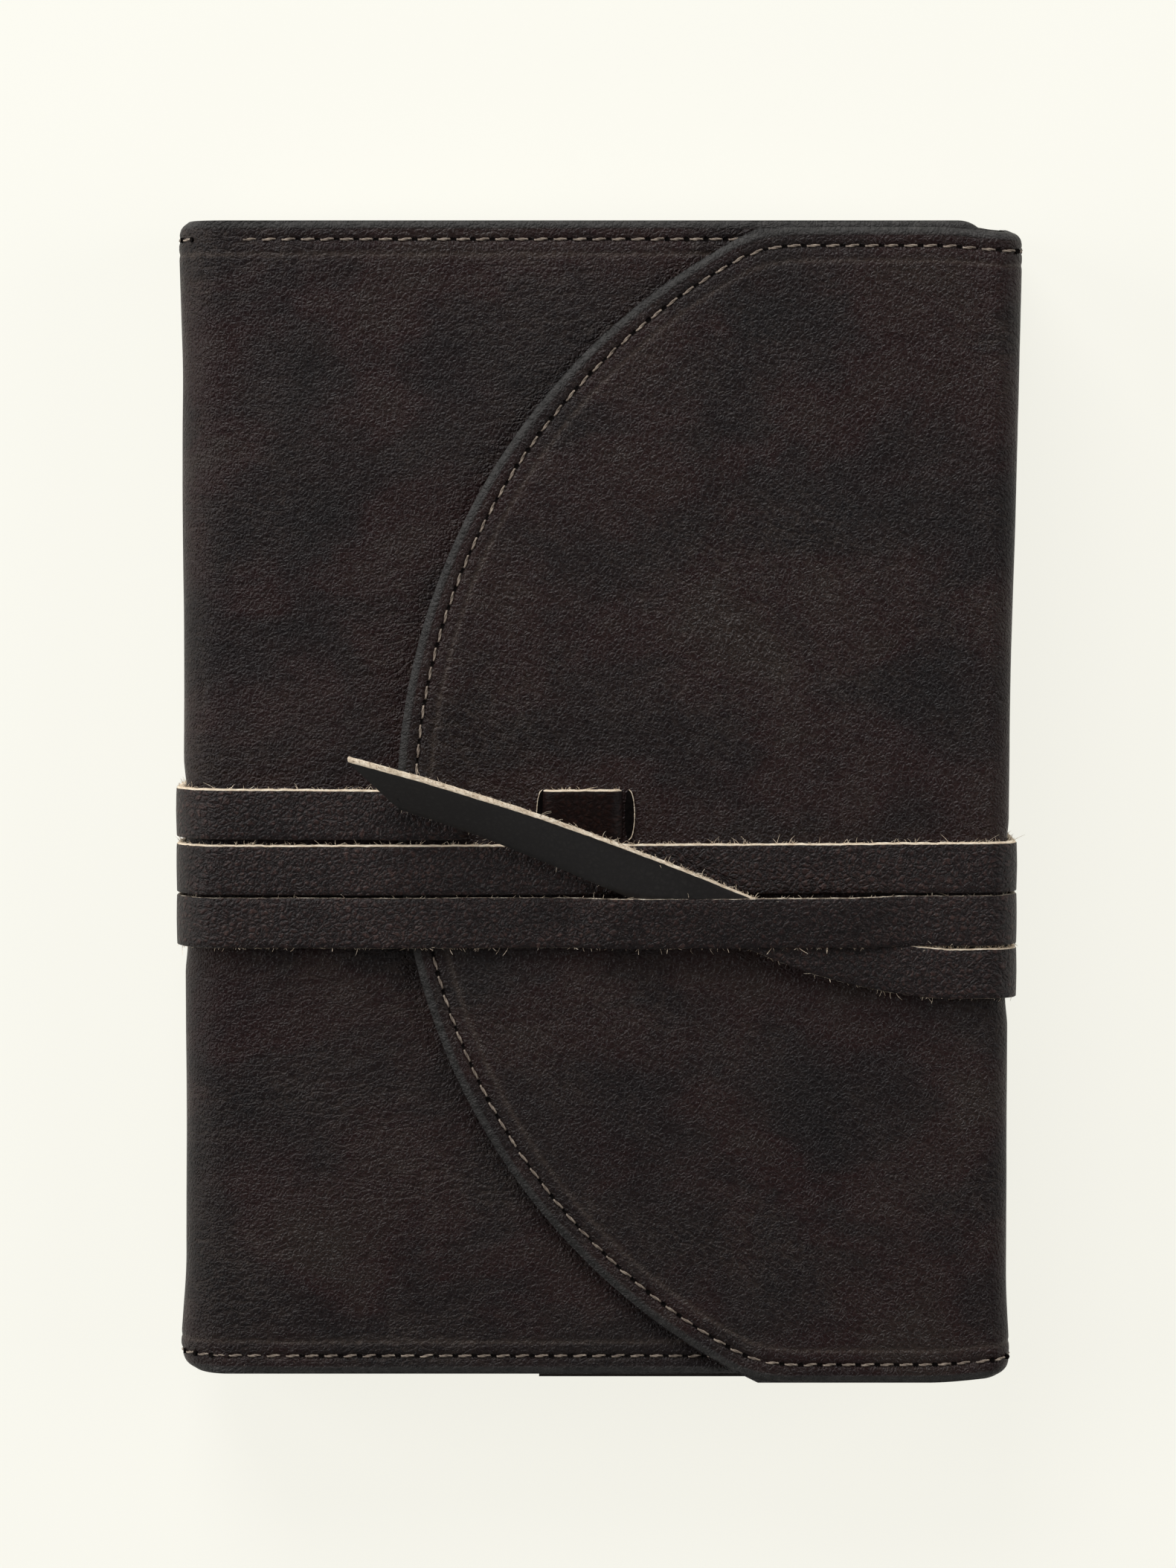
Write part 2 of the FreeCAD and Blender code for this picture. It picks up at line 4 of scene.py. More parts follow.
import bmesh
import bpy
import numpy as np
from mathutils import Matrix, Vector


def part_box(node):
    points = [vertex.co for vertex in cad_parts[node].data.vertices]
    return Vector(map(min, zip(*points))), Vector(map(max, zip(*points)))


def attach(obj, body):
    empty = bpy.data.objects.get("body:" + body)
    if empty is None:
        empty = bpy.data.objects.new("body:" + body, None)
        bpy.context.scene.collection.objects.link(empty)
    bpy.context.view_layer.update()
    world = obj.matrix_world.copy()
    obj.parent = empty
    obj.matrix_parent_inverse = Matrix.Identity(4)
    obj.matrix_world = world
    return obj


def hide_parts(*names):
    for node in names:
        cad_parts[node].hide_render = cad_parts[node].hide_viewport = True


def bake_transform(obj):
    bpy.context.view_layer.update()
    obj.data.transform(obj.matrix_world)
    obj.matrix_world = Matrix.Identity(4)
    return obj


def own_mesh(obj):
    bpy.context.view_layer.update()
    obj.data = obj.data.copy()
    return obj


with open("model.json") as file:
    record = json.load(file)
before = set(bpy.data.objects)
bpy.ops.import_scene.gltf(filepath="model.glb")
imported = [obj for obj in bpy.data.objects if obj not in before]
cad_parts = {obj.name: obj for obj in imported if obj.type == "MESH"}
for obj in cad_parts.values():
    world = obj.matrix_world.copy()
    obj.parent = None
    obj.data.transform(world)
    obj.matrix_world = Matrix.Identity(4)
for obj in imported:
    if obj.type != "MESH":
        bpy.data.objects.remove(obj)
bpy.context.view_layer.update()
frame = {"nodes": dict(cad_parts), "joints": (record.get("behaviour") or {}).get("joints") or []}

# Lengths are in millimetres in this script, and go into the meshes in metres.
MM = 0.001


# ---- sizes read from the frame ----

def low(node):
    """Return a CAD node's lowest corner, in millimetres."""
    return np.array(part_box(node)[0]) / MM


def high(node):
    """Return a CAD node's highest corner, in millimetres."""
    return np.array(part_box(node)[1]) / MM


def hinge(name):
    """Return where a joint's axis crosses the XZ plane, in millimetres."""
    joint = next(j for j in frame["joints"] if j["name"] == name)
    return joint["pos_m"][0] / MM, joint["pos_m"][2] / MM


HALF_DIAGONAL = 1 - math.sqrt(0.5)
HALF = high("leather_back")[1]
SPINE_X = low("leather_spine")[0]
FORE_X = high("leather_fore_edge")[0]
BACK_Z = low("leather_back")[2]
FRONT_Z = high("leather_front")[2]
FLAP_Z = high("leather_flap")[2]
FRONT_FREE_X = high("leather_front")[0]
FLAP_TIP_X = low("leather_flap")[0]
SPINE_BEND = (hinge("spine_fold")[0] - SPINE_X) / HALF_DIAGONAL
FORE_BEND = (FORE_X - hinge("fore_edge_fold")[0]) / HALF_DIAGONAL
SPINE_BEND_X = SPINE_X + SPINE_BEND
FORE_BEND_X = FORE_X - FORE_BEND
SPINE_WALL = FRONT_Z - BACK_Z - 2 * SPINE_BEND
FORE_WALL = FLAP_Z - BACK_Z - 2 * FORE_BEND
LEATHER = FRONT_Z - high("lining_front")[2] - 0.02
LINING = 1.0
SEAM_GAP = 0.02
STRAP = high("strap_back_runs")[2]
STRAP_WIDTH = high("strap_lacing")[1] - low("strap_lacing")[1]
STRAP_GAP = BACK_Z - STRAP

# ---- sizes of the details ----
FLAP_RADIUS = 123.5
FLAP_CENTRE_X = FLAP_TIP_X + FLAP_RADIUS
FLAP_SLIP = 1.3            # the flap is folded over this much nearer the tail
FRONT_CORNER = 6.0
FOLD_WAIST = 0.011         # share by which the leather is shorter where it turns round the fore-edge
FOLD_FADE = 6              # the fine waves fade out over this width beside a fold
STRAP_DENT = 0.45          # the strap presses this far into the folds
DENT_FADE = 6              # each end of a dent fades out over this height
SPINE_DENT = (-34, 8)      # where the strap dents the spine's folds, in Y
FORE_DENT = (-43, -2)
SPINE_TURN_IN = ((3.5, 1.8), (5.5, 2.8))   # how wide and deep the folds turn in at head and tail
FORE_TURN_IN = ((3.0, 1.2), (4.0, 1.8))
THINNEST = 0.15            # the least that the leather is thinned to
EDGE_WIDTH = 1.7           # the burnished cut edges slope and round over this width
EDGE_DROP = 1.15
SOFTENING = 1.1            # the front and back sink this far on their way into the spine's bends
STITCH_INSET = 3.6
CORNER_BLEND = 3.0         # rounds the stitch line and crease inside the flap's two corners
STITCH_PITCH = 3.7
CREASE_INSET = 6.4
GRID_STEP = 1.1
COARSE_STEP = 2.6


# ---- numbers: noise and spacing ----

NOISE_CELLS = 64           # the noise repeats after this many features


def lattice_noise(x, y, size_x, size_y, seed):
    """Return smooth noise from 0 to 1 with features of about the given sizes."""
    table = np.random.default_rng(seed).random((NOISE_CELLS, NOISE_CELLS))
    u = np.asarray(x) / size_x
    v = np.asarray(y) / size_y
    cell_u = np.floor(u).astype(int)
    cell_v = np.floor(v).astype(int)
    part_u = u - cell_u
    part_v = v - cell_v
    part_u = part_u * part_u * (3 - 2 * part_u)
    part_v = part_v * part_v * (3 - 2 * part_v)
    this_u, next_u = cell_u % NOISE_CELLS, (cell_u + 1) % NOISE_CELLS
    this_v, next_v = cell_v % NOISE_CELLS, (cell_v + 1) % NOISE_CELLS
    near = table[this_u, this_v] * (1 - part_v) + table[this_u, next_v] * part_v
    far = table[next_u, this_v] * (1 - part_v) + table[next_u, next_v] * part_v
    return near * (1 - part_u) + far * part_u


def smooth_step(value, first, last):
    """Return 0 before first and 1 after last, with a smooth rise between."""
    share = np.clip((np.asarray(value, float) - first) / (last - first), 0, 1)
    return share * share * (3 - 2 * share)


def bump(value, centre, width):
    """Return a smooth hump of height 1."""
    return np.exp(-((np.asarray(value, float) - centre) / width) ** 2)


def edge_distances():
    """Return distances in from a cut edge, close together at its rounding, stitches and crease."""
    rounding = EDGE_WIDTH * np.array([0, 0.03, 0.1, 0.2, 0.35, 0.55, 0.8, 1.0])
    groove = STITCH_INSET + np.array([-1.4, -1.05, -0.75, -0.5, -0.25, 0, 0.25, 0.5, 0.75, 1.1])
    crease = CREASE_INSET + np.array([-1.0, -0.6, -0.3, 0, 0.3, 0.6, 1.1, 1.9])
    return np.concatenate([rounding, groove, crease])


def graded(first, last, step, first_edge=True, last_edge=True):
    """Return positions between two ends, evenly spaced apart from those beside a cut edge."""
    near = edge_distances()
    start = first + near if first_edge else np.array([first])
    end = (last - near)[::-1] if last_edge else np.array([last])
    count = max(2, int(round((end[0] - start[-1]) / step)))
    middle = np.linspace(start[-1], end[0], count + 1)[1:-1]
    return np.concatenate([start, middle, end])


# ---- the section: the outer face's path in the XZ plane ----

class Path:
    """Straight runs and bends in the XZ plane, measured along their length. A positive bend turns left."""

    def __init__(self, x, z, heading, runs):
        self.stops = []
        travelled = 0.0
        angle = math.radians(heading)
        for length, turn in runs:
            turn = math.radians(turn)
            self.stops.append((travelled, length, turn, x, z, angle))
            if turn:
                radius = length / turn
                x += radius * (math.sin(angle + turn) - math.sin(angle))
                z -= radius * (math.cos(angle + turn) - math.cos(angle))
                angle += turn
            else:
                x += length * math.cos(angle)
                z += length * math.sin(angle)
            travelled += length
        self.length = travelled

    def at(self, s):
        """Return x, z and heading at distances along the path."""
        s = np.asarray(s, float)
        x, z, heading = np.zeros(s.shape), np.zeros(s.shape), np.zeros(s.shape)
        for n, (first, length, turn, x0, z0, angle) in enumerate(self.stops):
            inside = s >= first if n else np.ones(s.shape, bool)
            along = s[inside] - first
            if turn:
                radius = length / turn
                now = angle + along / radius
                x[inside] = x0 + radius * (np.sin(now) - math.sin(angle))
                z[inside] = z0 - radius * (np.cos(now) - math.cos(angle))
                heading[inside] = now
            else:
                x[inside] = x0 + along * math.cos(angle)
                z[inside] = z0 + along * math.sin(angle)
                heading[inside] = angle
        return x, z, heading

    def offset(self, s, y, outwards):
        """Return points at a distance outside the path, which is on its right."""
        x, z, heading = self.at(s)
        points = np.stack([x + outwards * np.sin(heading), y + 0 * x, z - outwards * np.cos(heading)], -1)
        return points


def quarter(radius):
    """Return a quarter bend to the left."""
    return radius * math.pi / 2, 90


FRONT_RUN = FRONT_FREE_X - SPINE_BEND_X
BACK_RUN = FORE_BEND_X - SPINE_BEND_X
SHELL = Path(FRONT_FREE_X, FRONT_Z, 180, [
    (FRONT_RUN, 0),
    quarter(SPINE_BEND),
    (SPINE_WALL, 0),
    quarter(SPINE_BEND),
    (BACK_RUN, 0),
    quarter(FORE_BEND),
    (FORE_WALL, 0),
    quarter(FORE_BEND),
    (FORE_BEND_X - FLAP_TIP_X, 0),
])
# Where each run or bend starts: 1-2 and 3-4 bound the spine's bends, 5-6 and 7-8 the fore-edge's.
STOP = [stop[0] for stop in SHELL.stops] + [SHELL.length]
MID_SPINE = (STOP[2] + STOP[3]) / 2
MID_BACK = (STOP[4] + STOP[5]) / 2
MID_FORE = (STOP[6] + STOP[7]) / 2
FLAP_START = STOP[8]


# ---- mesh building ----

def quads(rows, columns, start=0):
    """Return the faces of a grid of vertices, as an array of four indices each."""
    index = start + np.arange(rows * columns).reshape(rows, columns)
    faces = [index[:-1, :-1], index[1:, :-1], index[1:, 1:], index[:-1, 1:]]
    return np.stack(faces, -1).reshape(-1, 4)


def make_mesh(name, points, faces, materials, flat=None, values=None, face_materials=None, sharp=50):
    """Make a mesh object in the row frame from points in millimetres."""
    mesh = bpy.data.meshes.new(name)
    points = np.asarray(points, float).reshape(-1, 3)
    mesh.from_pydata((points * MM).tolist(), [], [list(map(int, f)) for f in faces])
    for material in materials:
        mesh.materials.append(material)
    loops = np.zeros(len(mesh.loops), np.int32)
    mesh.loops.foreach_get("vertex_index", loops)
    if flat is not None:
        layer = mesh.uv_layers.new(name="flat")
        layer.data.foreach_set("uv", (np.asarray(flat, float).reshape(-1, 2) * MM)[loops].ravel())
    for key, value in (values or {}).items():
        attribute = mesh.attributes.new(key, "FLOAT", "POINT")
        attribute.data.foreach_set("value", np.asarray(value, np.float32).ravel())
    if face_materials is not None:
        mesh.polygons.foreach_set("material_index", np.asarray(face_materials, np.int32))
    work = bmesh.new()
    work.from_mesh(mesh)
    bmesh.ops.recalc_face_normals(work, faces=work.faces)
    work.to_mesh(mesh)
    work.free()
    mesh.shade_smooth()
    mesh.set_sharp_from_angle(angle=math.radians(sharp))
    piece = bpy.data.objects.new(name, mesh)
    bpy.context.scene.collection.objects.link(piece)
    return piece


def add_shape(points, faces, shape_points, shape_faces):
    """Append a shape to a growing mesh's lists of points and faces."""
    start = sum(len(p) for p in points)
    points.append(shape_points)
    faces.extend([v + start for v in face] for face in shape_faces)


def closed_sheet(name, outer, inner, flat, materials, values=None, sharp=50):
    """Make a closed thin sheet from two grids of points with the same shape."""
    rows, columns = outer.shape[:2]
    count = rows * columns
    index = np.arange(count).reshape(rows, columns)
    rim = np.concatenate([index[0, :-1], index[:-1, -1], index[-1, :0:-1], index[:0:-1, 0]])
    after = np.roll(rim, -1)
    sides = np.stack([rim, after, after + count, rim + count], -1)
    faces = np.concatenate([quads(rows, columns), quads(rows, columns, count)[:, ::-1], sides])
    doubled = {key: np.concatenate([value.ravel(), value.ravel()]) for key, value in (values or {}).items()}
    return make_mesh(name, np.concatenate([outer.reshape(-1, 3), inner.reshape(-1, 3)]), faces, materials,
                     np.concatenate([flat.reshape(-1, 2)] * 2), doubled, sharp=sharp)


def tube(centres, sides, ups, radius, around):
    """Return the points and faces of a closed tube with rounded ends along a line of centres."""
    turns = np.arange(around) * 2 * math.pi / around
    rings = centres[:, None] + radius[:, None, None] * (
        np.cos(turns)[None, :, None] * sides[:, None] + np.sin(turns)[None, :, None] * ups[:, None])
    points = rings.reshape(-1, 3)
    faces = []
    for n in range(len(centres) - 1):
        for k in range(around):
            here, following = n * around + k, n * around + (k + 1) % around
            faces.append([here, following, following + around, here + around])
    faces.append(list(range(around))[::-1])
    faces.append([(len(centres) - 1) * around + k for k in range(around)])
    return points, faces


# ---- materials ----

class Nodes:
    """A new material's node tree, with short ways to add and link nodes."""

    def __init__(self, name):
        self.material = bpy.data.materials.new(name)
        self.material.use_nodes = True
        self.tree = self.material.node_tree
        self.shader = self.tree.nodes["Principled BSDF"]

    def set(self, node, key, value):
        """Give an input a value, or link another node's output to it."""
        if isinstance(value, bpy.types.NodeSocket):
            self.tree.links.new(value, node.inputs[key])
        else:
            node.inputs[key].default_value = value

    def add(self, kind, inputs=None, **settings):
        """Add a node with its settings and inputs."""
        node = self.tree.nodes.new("ShaderNode" + kind)
        for key, value in settings.items():
            setattr(node, key, value)
        for key, value in (inputs or {}).items():
            self.set(node, key, value)
        return node

    def math(self, operation, a, b=0.0, c=0.0):
        """Return the result of a sum on up to three values."""
        return self.add("Math", {0: a, 1: b, 2: c}, operation=operation).outputs[0]

    def flat_mm(self, stretch=(1, 1), angle=0, wander=0.0, wander_size=4.0):
        """Return the flat coordinates in millimetres, made to wander, then turned and stretched."""
        flat = self.add("UVMap", uv_map="flat").outputs[0]
        flat = self.add("Mapping", {0: flat, 3: (1 / MM, 1 / MM, 1)}).outputs[0]
        if wander:
            drift = self.add("TexNoise", {"Vector": flat, "Scale": 1 / wander_size, "Detail": 2.0}).outputs[1]
            drift = self.add("VectorMath", {0: drift, 1: (0.5, 0.5, 0.5)}, operation="SUBTRACT").outputs[0]
            drift = self.add("VectorMath", {0: drift, "Scale": 2 * wander}, operation="SCALE").outputs[0]
            flat = self.add("VectorMath", {0: flat, 1: drift}, operation="ADD").outputs[0]
        turned = self.add("Mapping", {0: flat, 2: (0, 0, math.radians(angle))}).outputs[0]
        return self.add("Mapping", {0: turned, 3: (1 / stretch[0], 1 / stretch[1], 1)}).outputs[0]

    def cracks(self, place, width):
        """Return 1 along the borders of Voronoi cells, falling to 0 at a width beside them."""
        cells = self.add("TexVoronoi", {"Vector": place, "Scale": 1.0}, feature="DISTANCE_TO_EDGE").outputs[0]
        return self.value_range(cells, 0.0, width, 1.0, 0.0)

    def furrows(self, place, width):
        """Return 1 along the winding level lines of smooth noise, falling to 0 beside them."""
        level = self.math("SUBTRACT", self.noise(place, 1.0, 2.0, 0.45), 0.5)
        return self.value_range(self.math("ABSOLUTE", level), 0.0, width, 1.0, 0.0)

    def total(self, *terms):
        """Return the sum of pairs of a value and its factor."""
        result = 0.0
        for value, factor in terms:
            result = self.math("MULTIPLY_ADD", value, factor, result)
        return result

    def noise(self, vector, size, detail=3.0, roughness=0.55, distortion=0.0):
        """Return noise with features of about a size in millimetres."""
        settings = {"Vector": vector, "Scale": 1 / size, "Detail": detail, "Roughness": roughness,
                    "Distortion": distortion}
        return self.add("TexNoise", settings).outputs[0]

    def ramp(self, value, stops):
        """Return a colour from a value, by stops of (position, colour)."""
        node = self.add("ValToRGB", {0: value})
        node.color_ramp.elements[0].position = stops[0][0]
        node.color_ramp.elements[0].color = (*stops[0][1], 1)
        node.color_ramp.elements[1].position = stops[-1][0]
        node.color_ramp.elements[1].color = (*stops[-1][1], 1)
        for position, colour in stops[1:-1]:
            node.color_ramp.elements.new(position).color = (*colour, 1)
        return node.outputs[0]

    def rgba(self, colour):
        """Return a linked colour as it is, and a plain one with its alpha."""
        return colour if isinstance(colour, bpy.types.NodeSocket) else (*colour, 1)

    def object_noise(self, scale, detail=2.0, roughness=0.5):
        """Return noise over the object's own coordinates, with this many features to a metre."""
        place = self.add("TexCoord").outputs["Object"]
        settings = {"Vector": place, "Scale": scale, "Detail": detail, "Roughness": roughness}
        return self.add("TexNoise", settings).outputs[0]

    def mix(self, share, a, b):
        """Return a mixed colour."""
        node = self.add("Mix", data_type="RGBA")
        self.set(node, 0, share)
        self.set(node, 6, self.rgba(a))
        self.set(node, 7, self.rgba(b))
        return node.outputs[2]

    def value_range(self, value, low_in, high_in, low_out, high_out):
        """Return a value carried from one range to another, clamped."""
        return self.add("MapRange", {0: value, 1: low_in, 2: high_in, 3: low_out, 4: high_out}).outputs[0]

    def finish(self, colour, roughness, height=None, specular=0.5):
        """Link the shader's inputs. The height is in millimetres."""
        self.set(self.shader, "Base Color", self.rgba(colour))
        self.set(self.shader, "Roughness", roughness)
        self.set(self.shader, "Specular IOR Level", specular)
        if height is not None:
            relief = self.add("Bump", {"Strength": 1.0, "Distance": MM, "Height": height})
            self.set(self.shader, "Normal", relief.outputs[0])
        return self.material


def grain(nodes, size):
    """Return the pebbled grain of leather, from -1 in its creases to about 0.3 on its pebbles."""
    creases = nodes.cracks(nodes.flat_mm((size, size), 0, size * 0.6, size * 1.6), 0.30)
    pores = nodes.noise(nodes.flat_mm(), size * 0.35, 2.0)
    return nodes.total((creases, -1.0), (pores, 0.5))


def leather_material(name, palette, angle, wrinkling, gloss, grain_depth=0.14):
    """Grained, mottled leather with branching wrinkles, burnished grey-brown on its cut edges, with painted
    sheen in broad lighter patches and painted highlights along its cracks and crease.
    """
    nodes = Nodes(name)
    flat = nodes.flat_mm()
    blotches = nodes.noise(nodes.flat_mm((1.4, 1)), 23, 5.0, 0.58, 0.4)
    colour = nodes.ramp(blotches, list(zip((0.34, 0.47, 0.56, 0.68), palette)))
    wear_and_sheen = nodes.value_range(nodes.noise(nodes.flat_mm((1.8, 1), angle), 26, 3.0, 0.6), 0.42, 0.62, 0.15, 1.0)
    calm = nodes.value_range(nodes.noise(nodes.flat_mm((1, 1.6), 0), 19, 3.0), 0.40, 0.60, 0.1, 1.0)
    long_cracks = nodes.furrows(nodes.flat_mm((7.5, 1.9), angle, 3.0, 9.0), 0.07)
    short_cracks = nodes.cracks(nodes.flat_mm((1.9, 1.1), angle + 38, 1.6, 3.0), 0.30)
    folds = nodes.noise(nodes.flat_mm((7, 2.2), angle, 4.0, 10.0), 1.0, 2.5, 0.5, 0.6)
    long_cracks = nodes.math("MULTIPLY", long_cracks, wear_and_sheen)
    short_cracks = nodes.math("MULTIPLY", short_cracks, calm)
    height = nodes.total((folds, 0.29 * wrinkling), (long_cracks, -0.13 * wrinkling),
                         (short_cracks, -0.05 * wrinkling), (grain(nodes, 0.85), grain_depth))
    fine = nodes.noise(flat, 1.1, 4.0, 0.75)
    # Painted sheen: broad lighter patches, mixed towards the palette's fourth colour. The same mask also sets
    # where the long cracks show.
    sheen_patches = nodes.math("MULTIPLY", nodes.value_range(fine, 0.46, 0.70, 0.0, 1.0), wear_and_sheen)
    colour = nodes.mix(sheen_patches, colour, palette[3])
    # Painted highlight: the crease and the cracks are mixed towards a lighter colour, as lines of light along
    # them.
    crease_highlight = nodes.add("Attribute", attribute_name="crease").outputs["Fac"]
    crease_highlight = nodes.math("MULTIPLY", crease_highlight, nodes.value_range(fine, 0.35, 0.65, 0.2, 0.75))
    lines = nodes.total((long_cracks, 0.20), (short_cracks, 0.09), (crease_highlight, 0.8))
    colour = nodes.mix(lines, colour, palette[4])
    specks = nodes.noise(flat, 0.8, 1.0)
    colour = nodes.mix(nodes.value_range(specks, 0.80, 0.84, 0.0, 0.5), colour, (0.16, 0.12, 0.085))
    cut = nodes.add("Attribute", attribute_name="cut_edge").outputs["Fac"]
    edge_noise = nodes.noise(nodes.flat_mm((1.6, 1.0)), 1.3, 4.0, 0.7)
    edge_tone = nodes.ramp(edge_noise, [(0.35, (0.018, 0.017, 0.016)), (0.7, (0.046, 0.043, 0.041))])
    colour = nodes.mix(cut, colour, edge_tone)
    roughness = nodes.value_range(blotches, 0.3, 0.72, gloss + 0.08, gloss - 0.05)
    roughness = nodes.total((cut, 0.14), (roughness, 1.0))
    height = nodes.math("MULTIPLY_ADD", nodes.math("MULTIPLY", edge_noise, cut), 0.22, height)
    return nodes.finish(colour, roughness, height, 0.20)


def strap_material(name, face, grain_depth, gloss, specular=0.25):
    """Strap leather: a grained dark face with painted shade in its grain's creases, and raw cream-coloured
    cut edges and flesh side.
    """
    nodes = Nodes(name)
    flat = nodes.flat_mm()
    broad = nodes.noise(nodes.flat_mm((2, 1)), 8, 3.0)
    tone = nodes.total((nodes.noise(flat, 1.0, 3.0, 0.7), 0.7), (broad, 0.3))
    colour = nodes.ramp(tone, [(0.38, face[0]), (0.51, face[1]), (0.62, face[2])])
    # Painted shade: the raw attribute is lowered on cut edges that lie in shadow, so they keep the dark face
    # colour.
    raw = nodes.add("Attribute", attribute_name="raw").outputs["Fac"]
    fibres = nodes.noise(nodes.flat_mm((1.8, 0.25)), 1.0, 4.0, 0.7)
    cream = nodes.ramp(fibres, [(0.25, (0.34, 0.25, 0.17)), (0.5, (0.64, 0.53, 0.40)),
                                (0.72, (0.88, 0.81, 0.68))])
    ragged = nodes.total((fibres, 0.5), (raw, 1.0))
    share = nodes.value_range(ragged, 0.67, 0.87, 0.0, 1.0)
    pebble = grain(nodes, 1.25)
    fine_pebble = grain(nodes, 0.6)
    face_height = nodes.total((pebble, grain_depth), (fine_pebble, grain_depth * 0.4))
    # Painted shade: the grain's creases are darkened towards the darkest face colour.
    crease_shade = nodes.value_range(pebble, -0.8, 0.1, 0.95, 0.0)
    colour = nodes.mix(crease_shade, colour, face[0])
    colour = nodes.mix(share, colour, cream)
    fuzz = nodes.math("MULTIPLY", nodes.noise(flat, 0.22, 3.0, 0.7), 0.16)
    height = nodes.add("Mix", {0: share, 2: face_height, 3: fuzz}, data_type="FLOAT").outputs[0]
    roughness = nodes.value_range(share, 0.0, 1.0, gloss, 0.92)
    return nodes.finish(colour, roughness, height, specular)


def thread_material():
    """Waxed linen thread, beige-taupe, darker between its plies."""
    nodes = Nodes("waxed_thread")
    tone = nodes.object_noise(900.0, 3.0)
    colour = nodes.ramp(tone, [(0.32, (0.12, 0.094, 0.074)), (0.55, (0.23, 0.184, 0.146)),
                               (0.75, (0.36, 0.30, 0.24))])
    return nodes.finish(colour, 0.62, nodes.math("MULTIPLY", tone, 0.05), 0.35)


def hole_shade_material():
    """Painted shade for the inside of a stitch hole or slit: a near-black colour where shadow falls in it."""
    nodes = Nodes("stitch_hole_shade")
    tone = nodes.object_noise(1500.0)
    colour = nodes.ramp(tone, [(0.3, (0.0015, 0.001, 0.001)), (0.8, (0.006, 0.0045, 0.004))])
    return nodes.finish(colour, 0.95, None, 0.05)


def paper_material():
    """Uncoated ivory paper with faint fibres."""
    nodes = Nodes("ivory_paper")
    cloud = nodes.object_noise(60.0, 5.0, 0.7)
    fibre = nodes.object_noise(1400.0, 3.0)
    colour = nodes.ramp(cloud, [(0.3, (0.78, 0.74, 0.62)), (0.7, (0.82, 0.78, 0.67))])
    return nodes.finish(colour, 0.88, nodes.math("MULTIPLY", fibre, 0.02), 0.25)


def card_material():
    """Kraft card with dark and light flecks."""
    nodes = Nodes("kraft_card")
    fleck = nodes.object_noise(700.0, 4.0, 0.8)
    colour = nodes.ramp(fleck, [(0.3, (0.20, 0.13, 0.075)), (0.55, (0.34, 0.24, 0.15)),
                                (0.8, (0.46, 0.35, 0.24))])
    return nodes.finish(colour, 0.8, nodes.math("MULTIPLY", fleck, 0.03), 0.3)


# Each leather's colours, from its darkest to its lightest, which paints sheen, and the colour of its cracks
# and crease, which paints highlights along them.
FRONT_BROWN = [(0.0052, 0.0034, 0.0038), (0.0088, 0.0044, 0.0046), (0.0150, 0.0054, 0.0054),
               (0.0195, 0.0122, 0.0102), (0.062, 0.046, 0.037)]
LINING_BROWN = [(0.036, 0.023, 0.016), (0.040, 0.026, 0.018), (0.046, 0.030, 0.021),
                (0.052, 0.036, 0.026), (0.070, 0.052, 0.038)]
STRAP_BROWN = [(0.0042, 0.0020, 0.0021), (0.0185, 0.0084, 0.0074), (0.0480, 0.0250, 0.0205)]
# The bridge's colours are a darker copy of the strap's, which paints shade on it where it lies between the
# slits.
BRIDGE_SHADED_BROWN = [(0.0040, 0.0012, 0.0009), (0.0095, 0.0030, 0.0022), (0.0210, 0.0075, 0.0050)]
# The tail's grey is painted sheen: the smooth end of the same dark strap, coloured grey for the light it
# reflects.
TAIL_SHEEN_GREY = [(0.0155, 0.0140, 0.0135), (0.0200, 0.0180, 0.0172), (0.0260, 0.0235, 0.0220)]

FRONT_LEATHER = leather_material("outer_leather_front", FRONT_BROWN, 4, 1.1, 0.455)
FLAP_LEATHER = leather_material("outer_leather_flap", FRONT_BROWN, -34, 1.05, 0.445)
LINING_LEATHER = leather_material("lining_leather", LINING_BROWN, 65, 0.25, 0.62, 0.03)
STRAP_LEATHER = strap_material("strap_leather", STRAP_BROWN, 0.17, 0.50)
BRIDGE_SHADED_LEATHER = strap_material("strap_bridge_shaded_leather", BRIDGE_SHADED_BROWN, 0.06, 0.56, 0.12)
TAIL_SHEEN_LEATHER = strap_material("strap_tail_sheen_leather", TAIL_SHEEN_GREY, 0.006, 0.50)
THREAD = thread_material()
HOLE_SHADE = hole_shade_material()
PAPER = paper_material()
CARD = card_material()


# ---- the shell: outer leather and lining, in four sheets that each cross one fold ----

def rounded_distance(a, b, radius):
    """Return the distance inside a corner of this radius, from the distances inside its two edges."""
    first, second = radius - a, radius - b
    outside = np.hypot(np.maximum(first, 0), np.maximum(second, 0))
    return radius - outside - np.minimum(np.maximum(first, second), 0)


def soft_corner(a, b):
    """Return the smaller of the distances inside two edges, less where their corner is rounded off."""
    near = np.clip(1 - abs(a - b) / CORNER_BLEND, 0, 1)
    return np.minimum(a, b) - CORNER_BLEND / 4 * near ** 2


def edge_rounding(edge, width, drop):
    """Return how far a face falls away beside its cut edge."""
    share = np.clip(1 - edge / width, 0, 1)
    return drop * (1 - np.sqrt(1 - share ** 2))


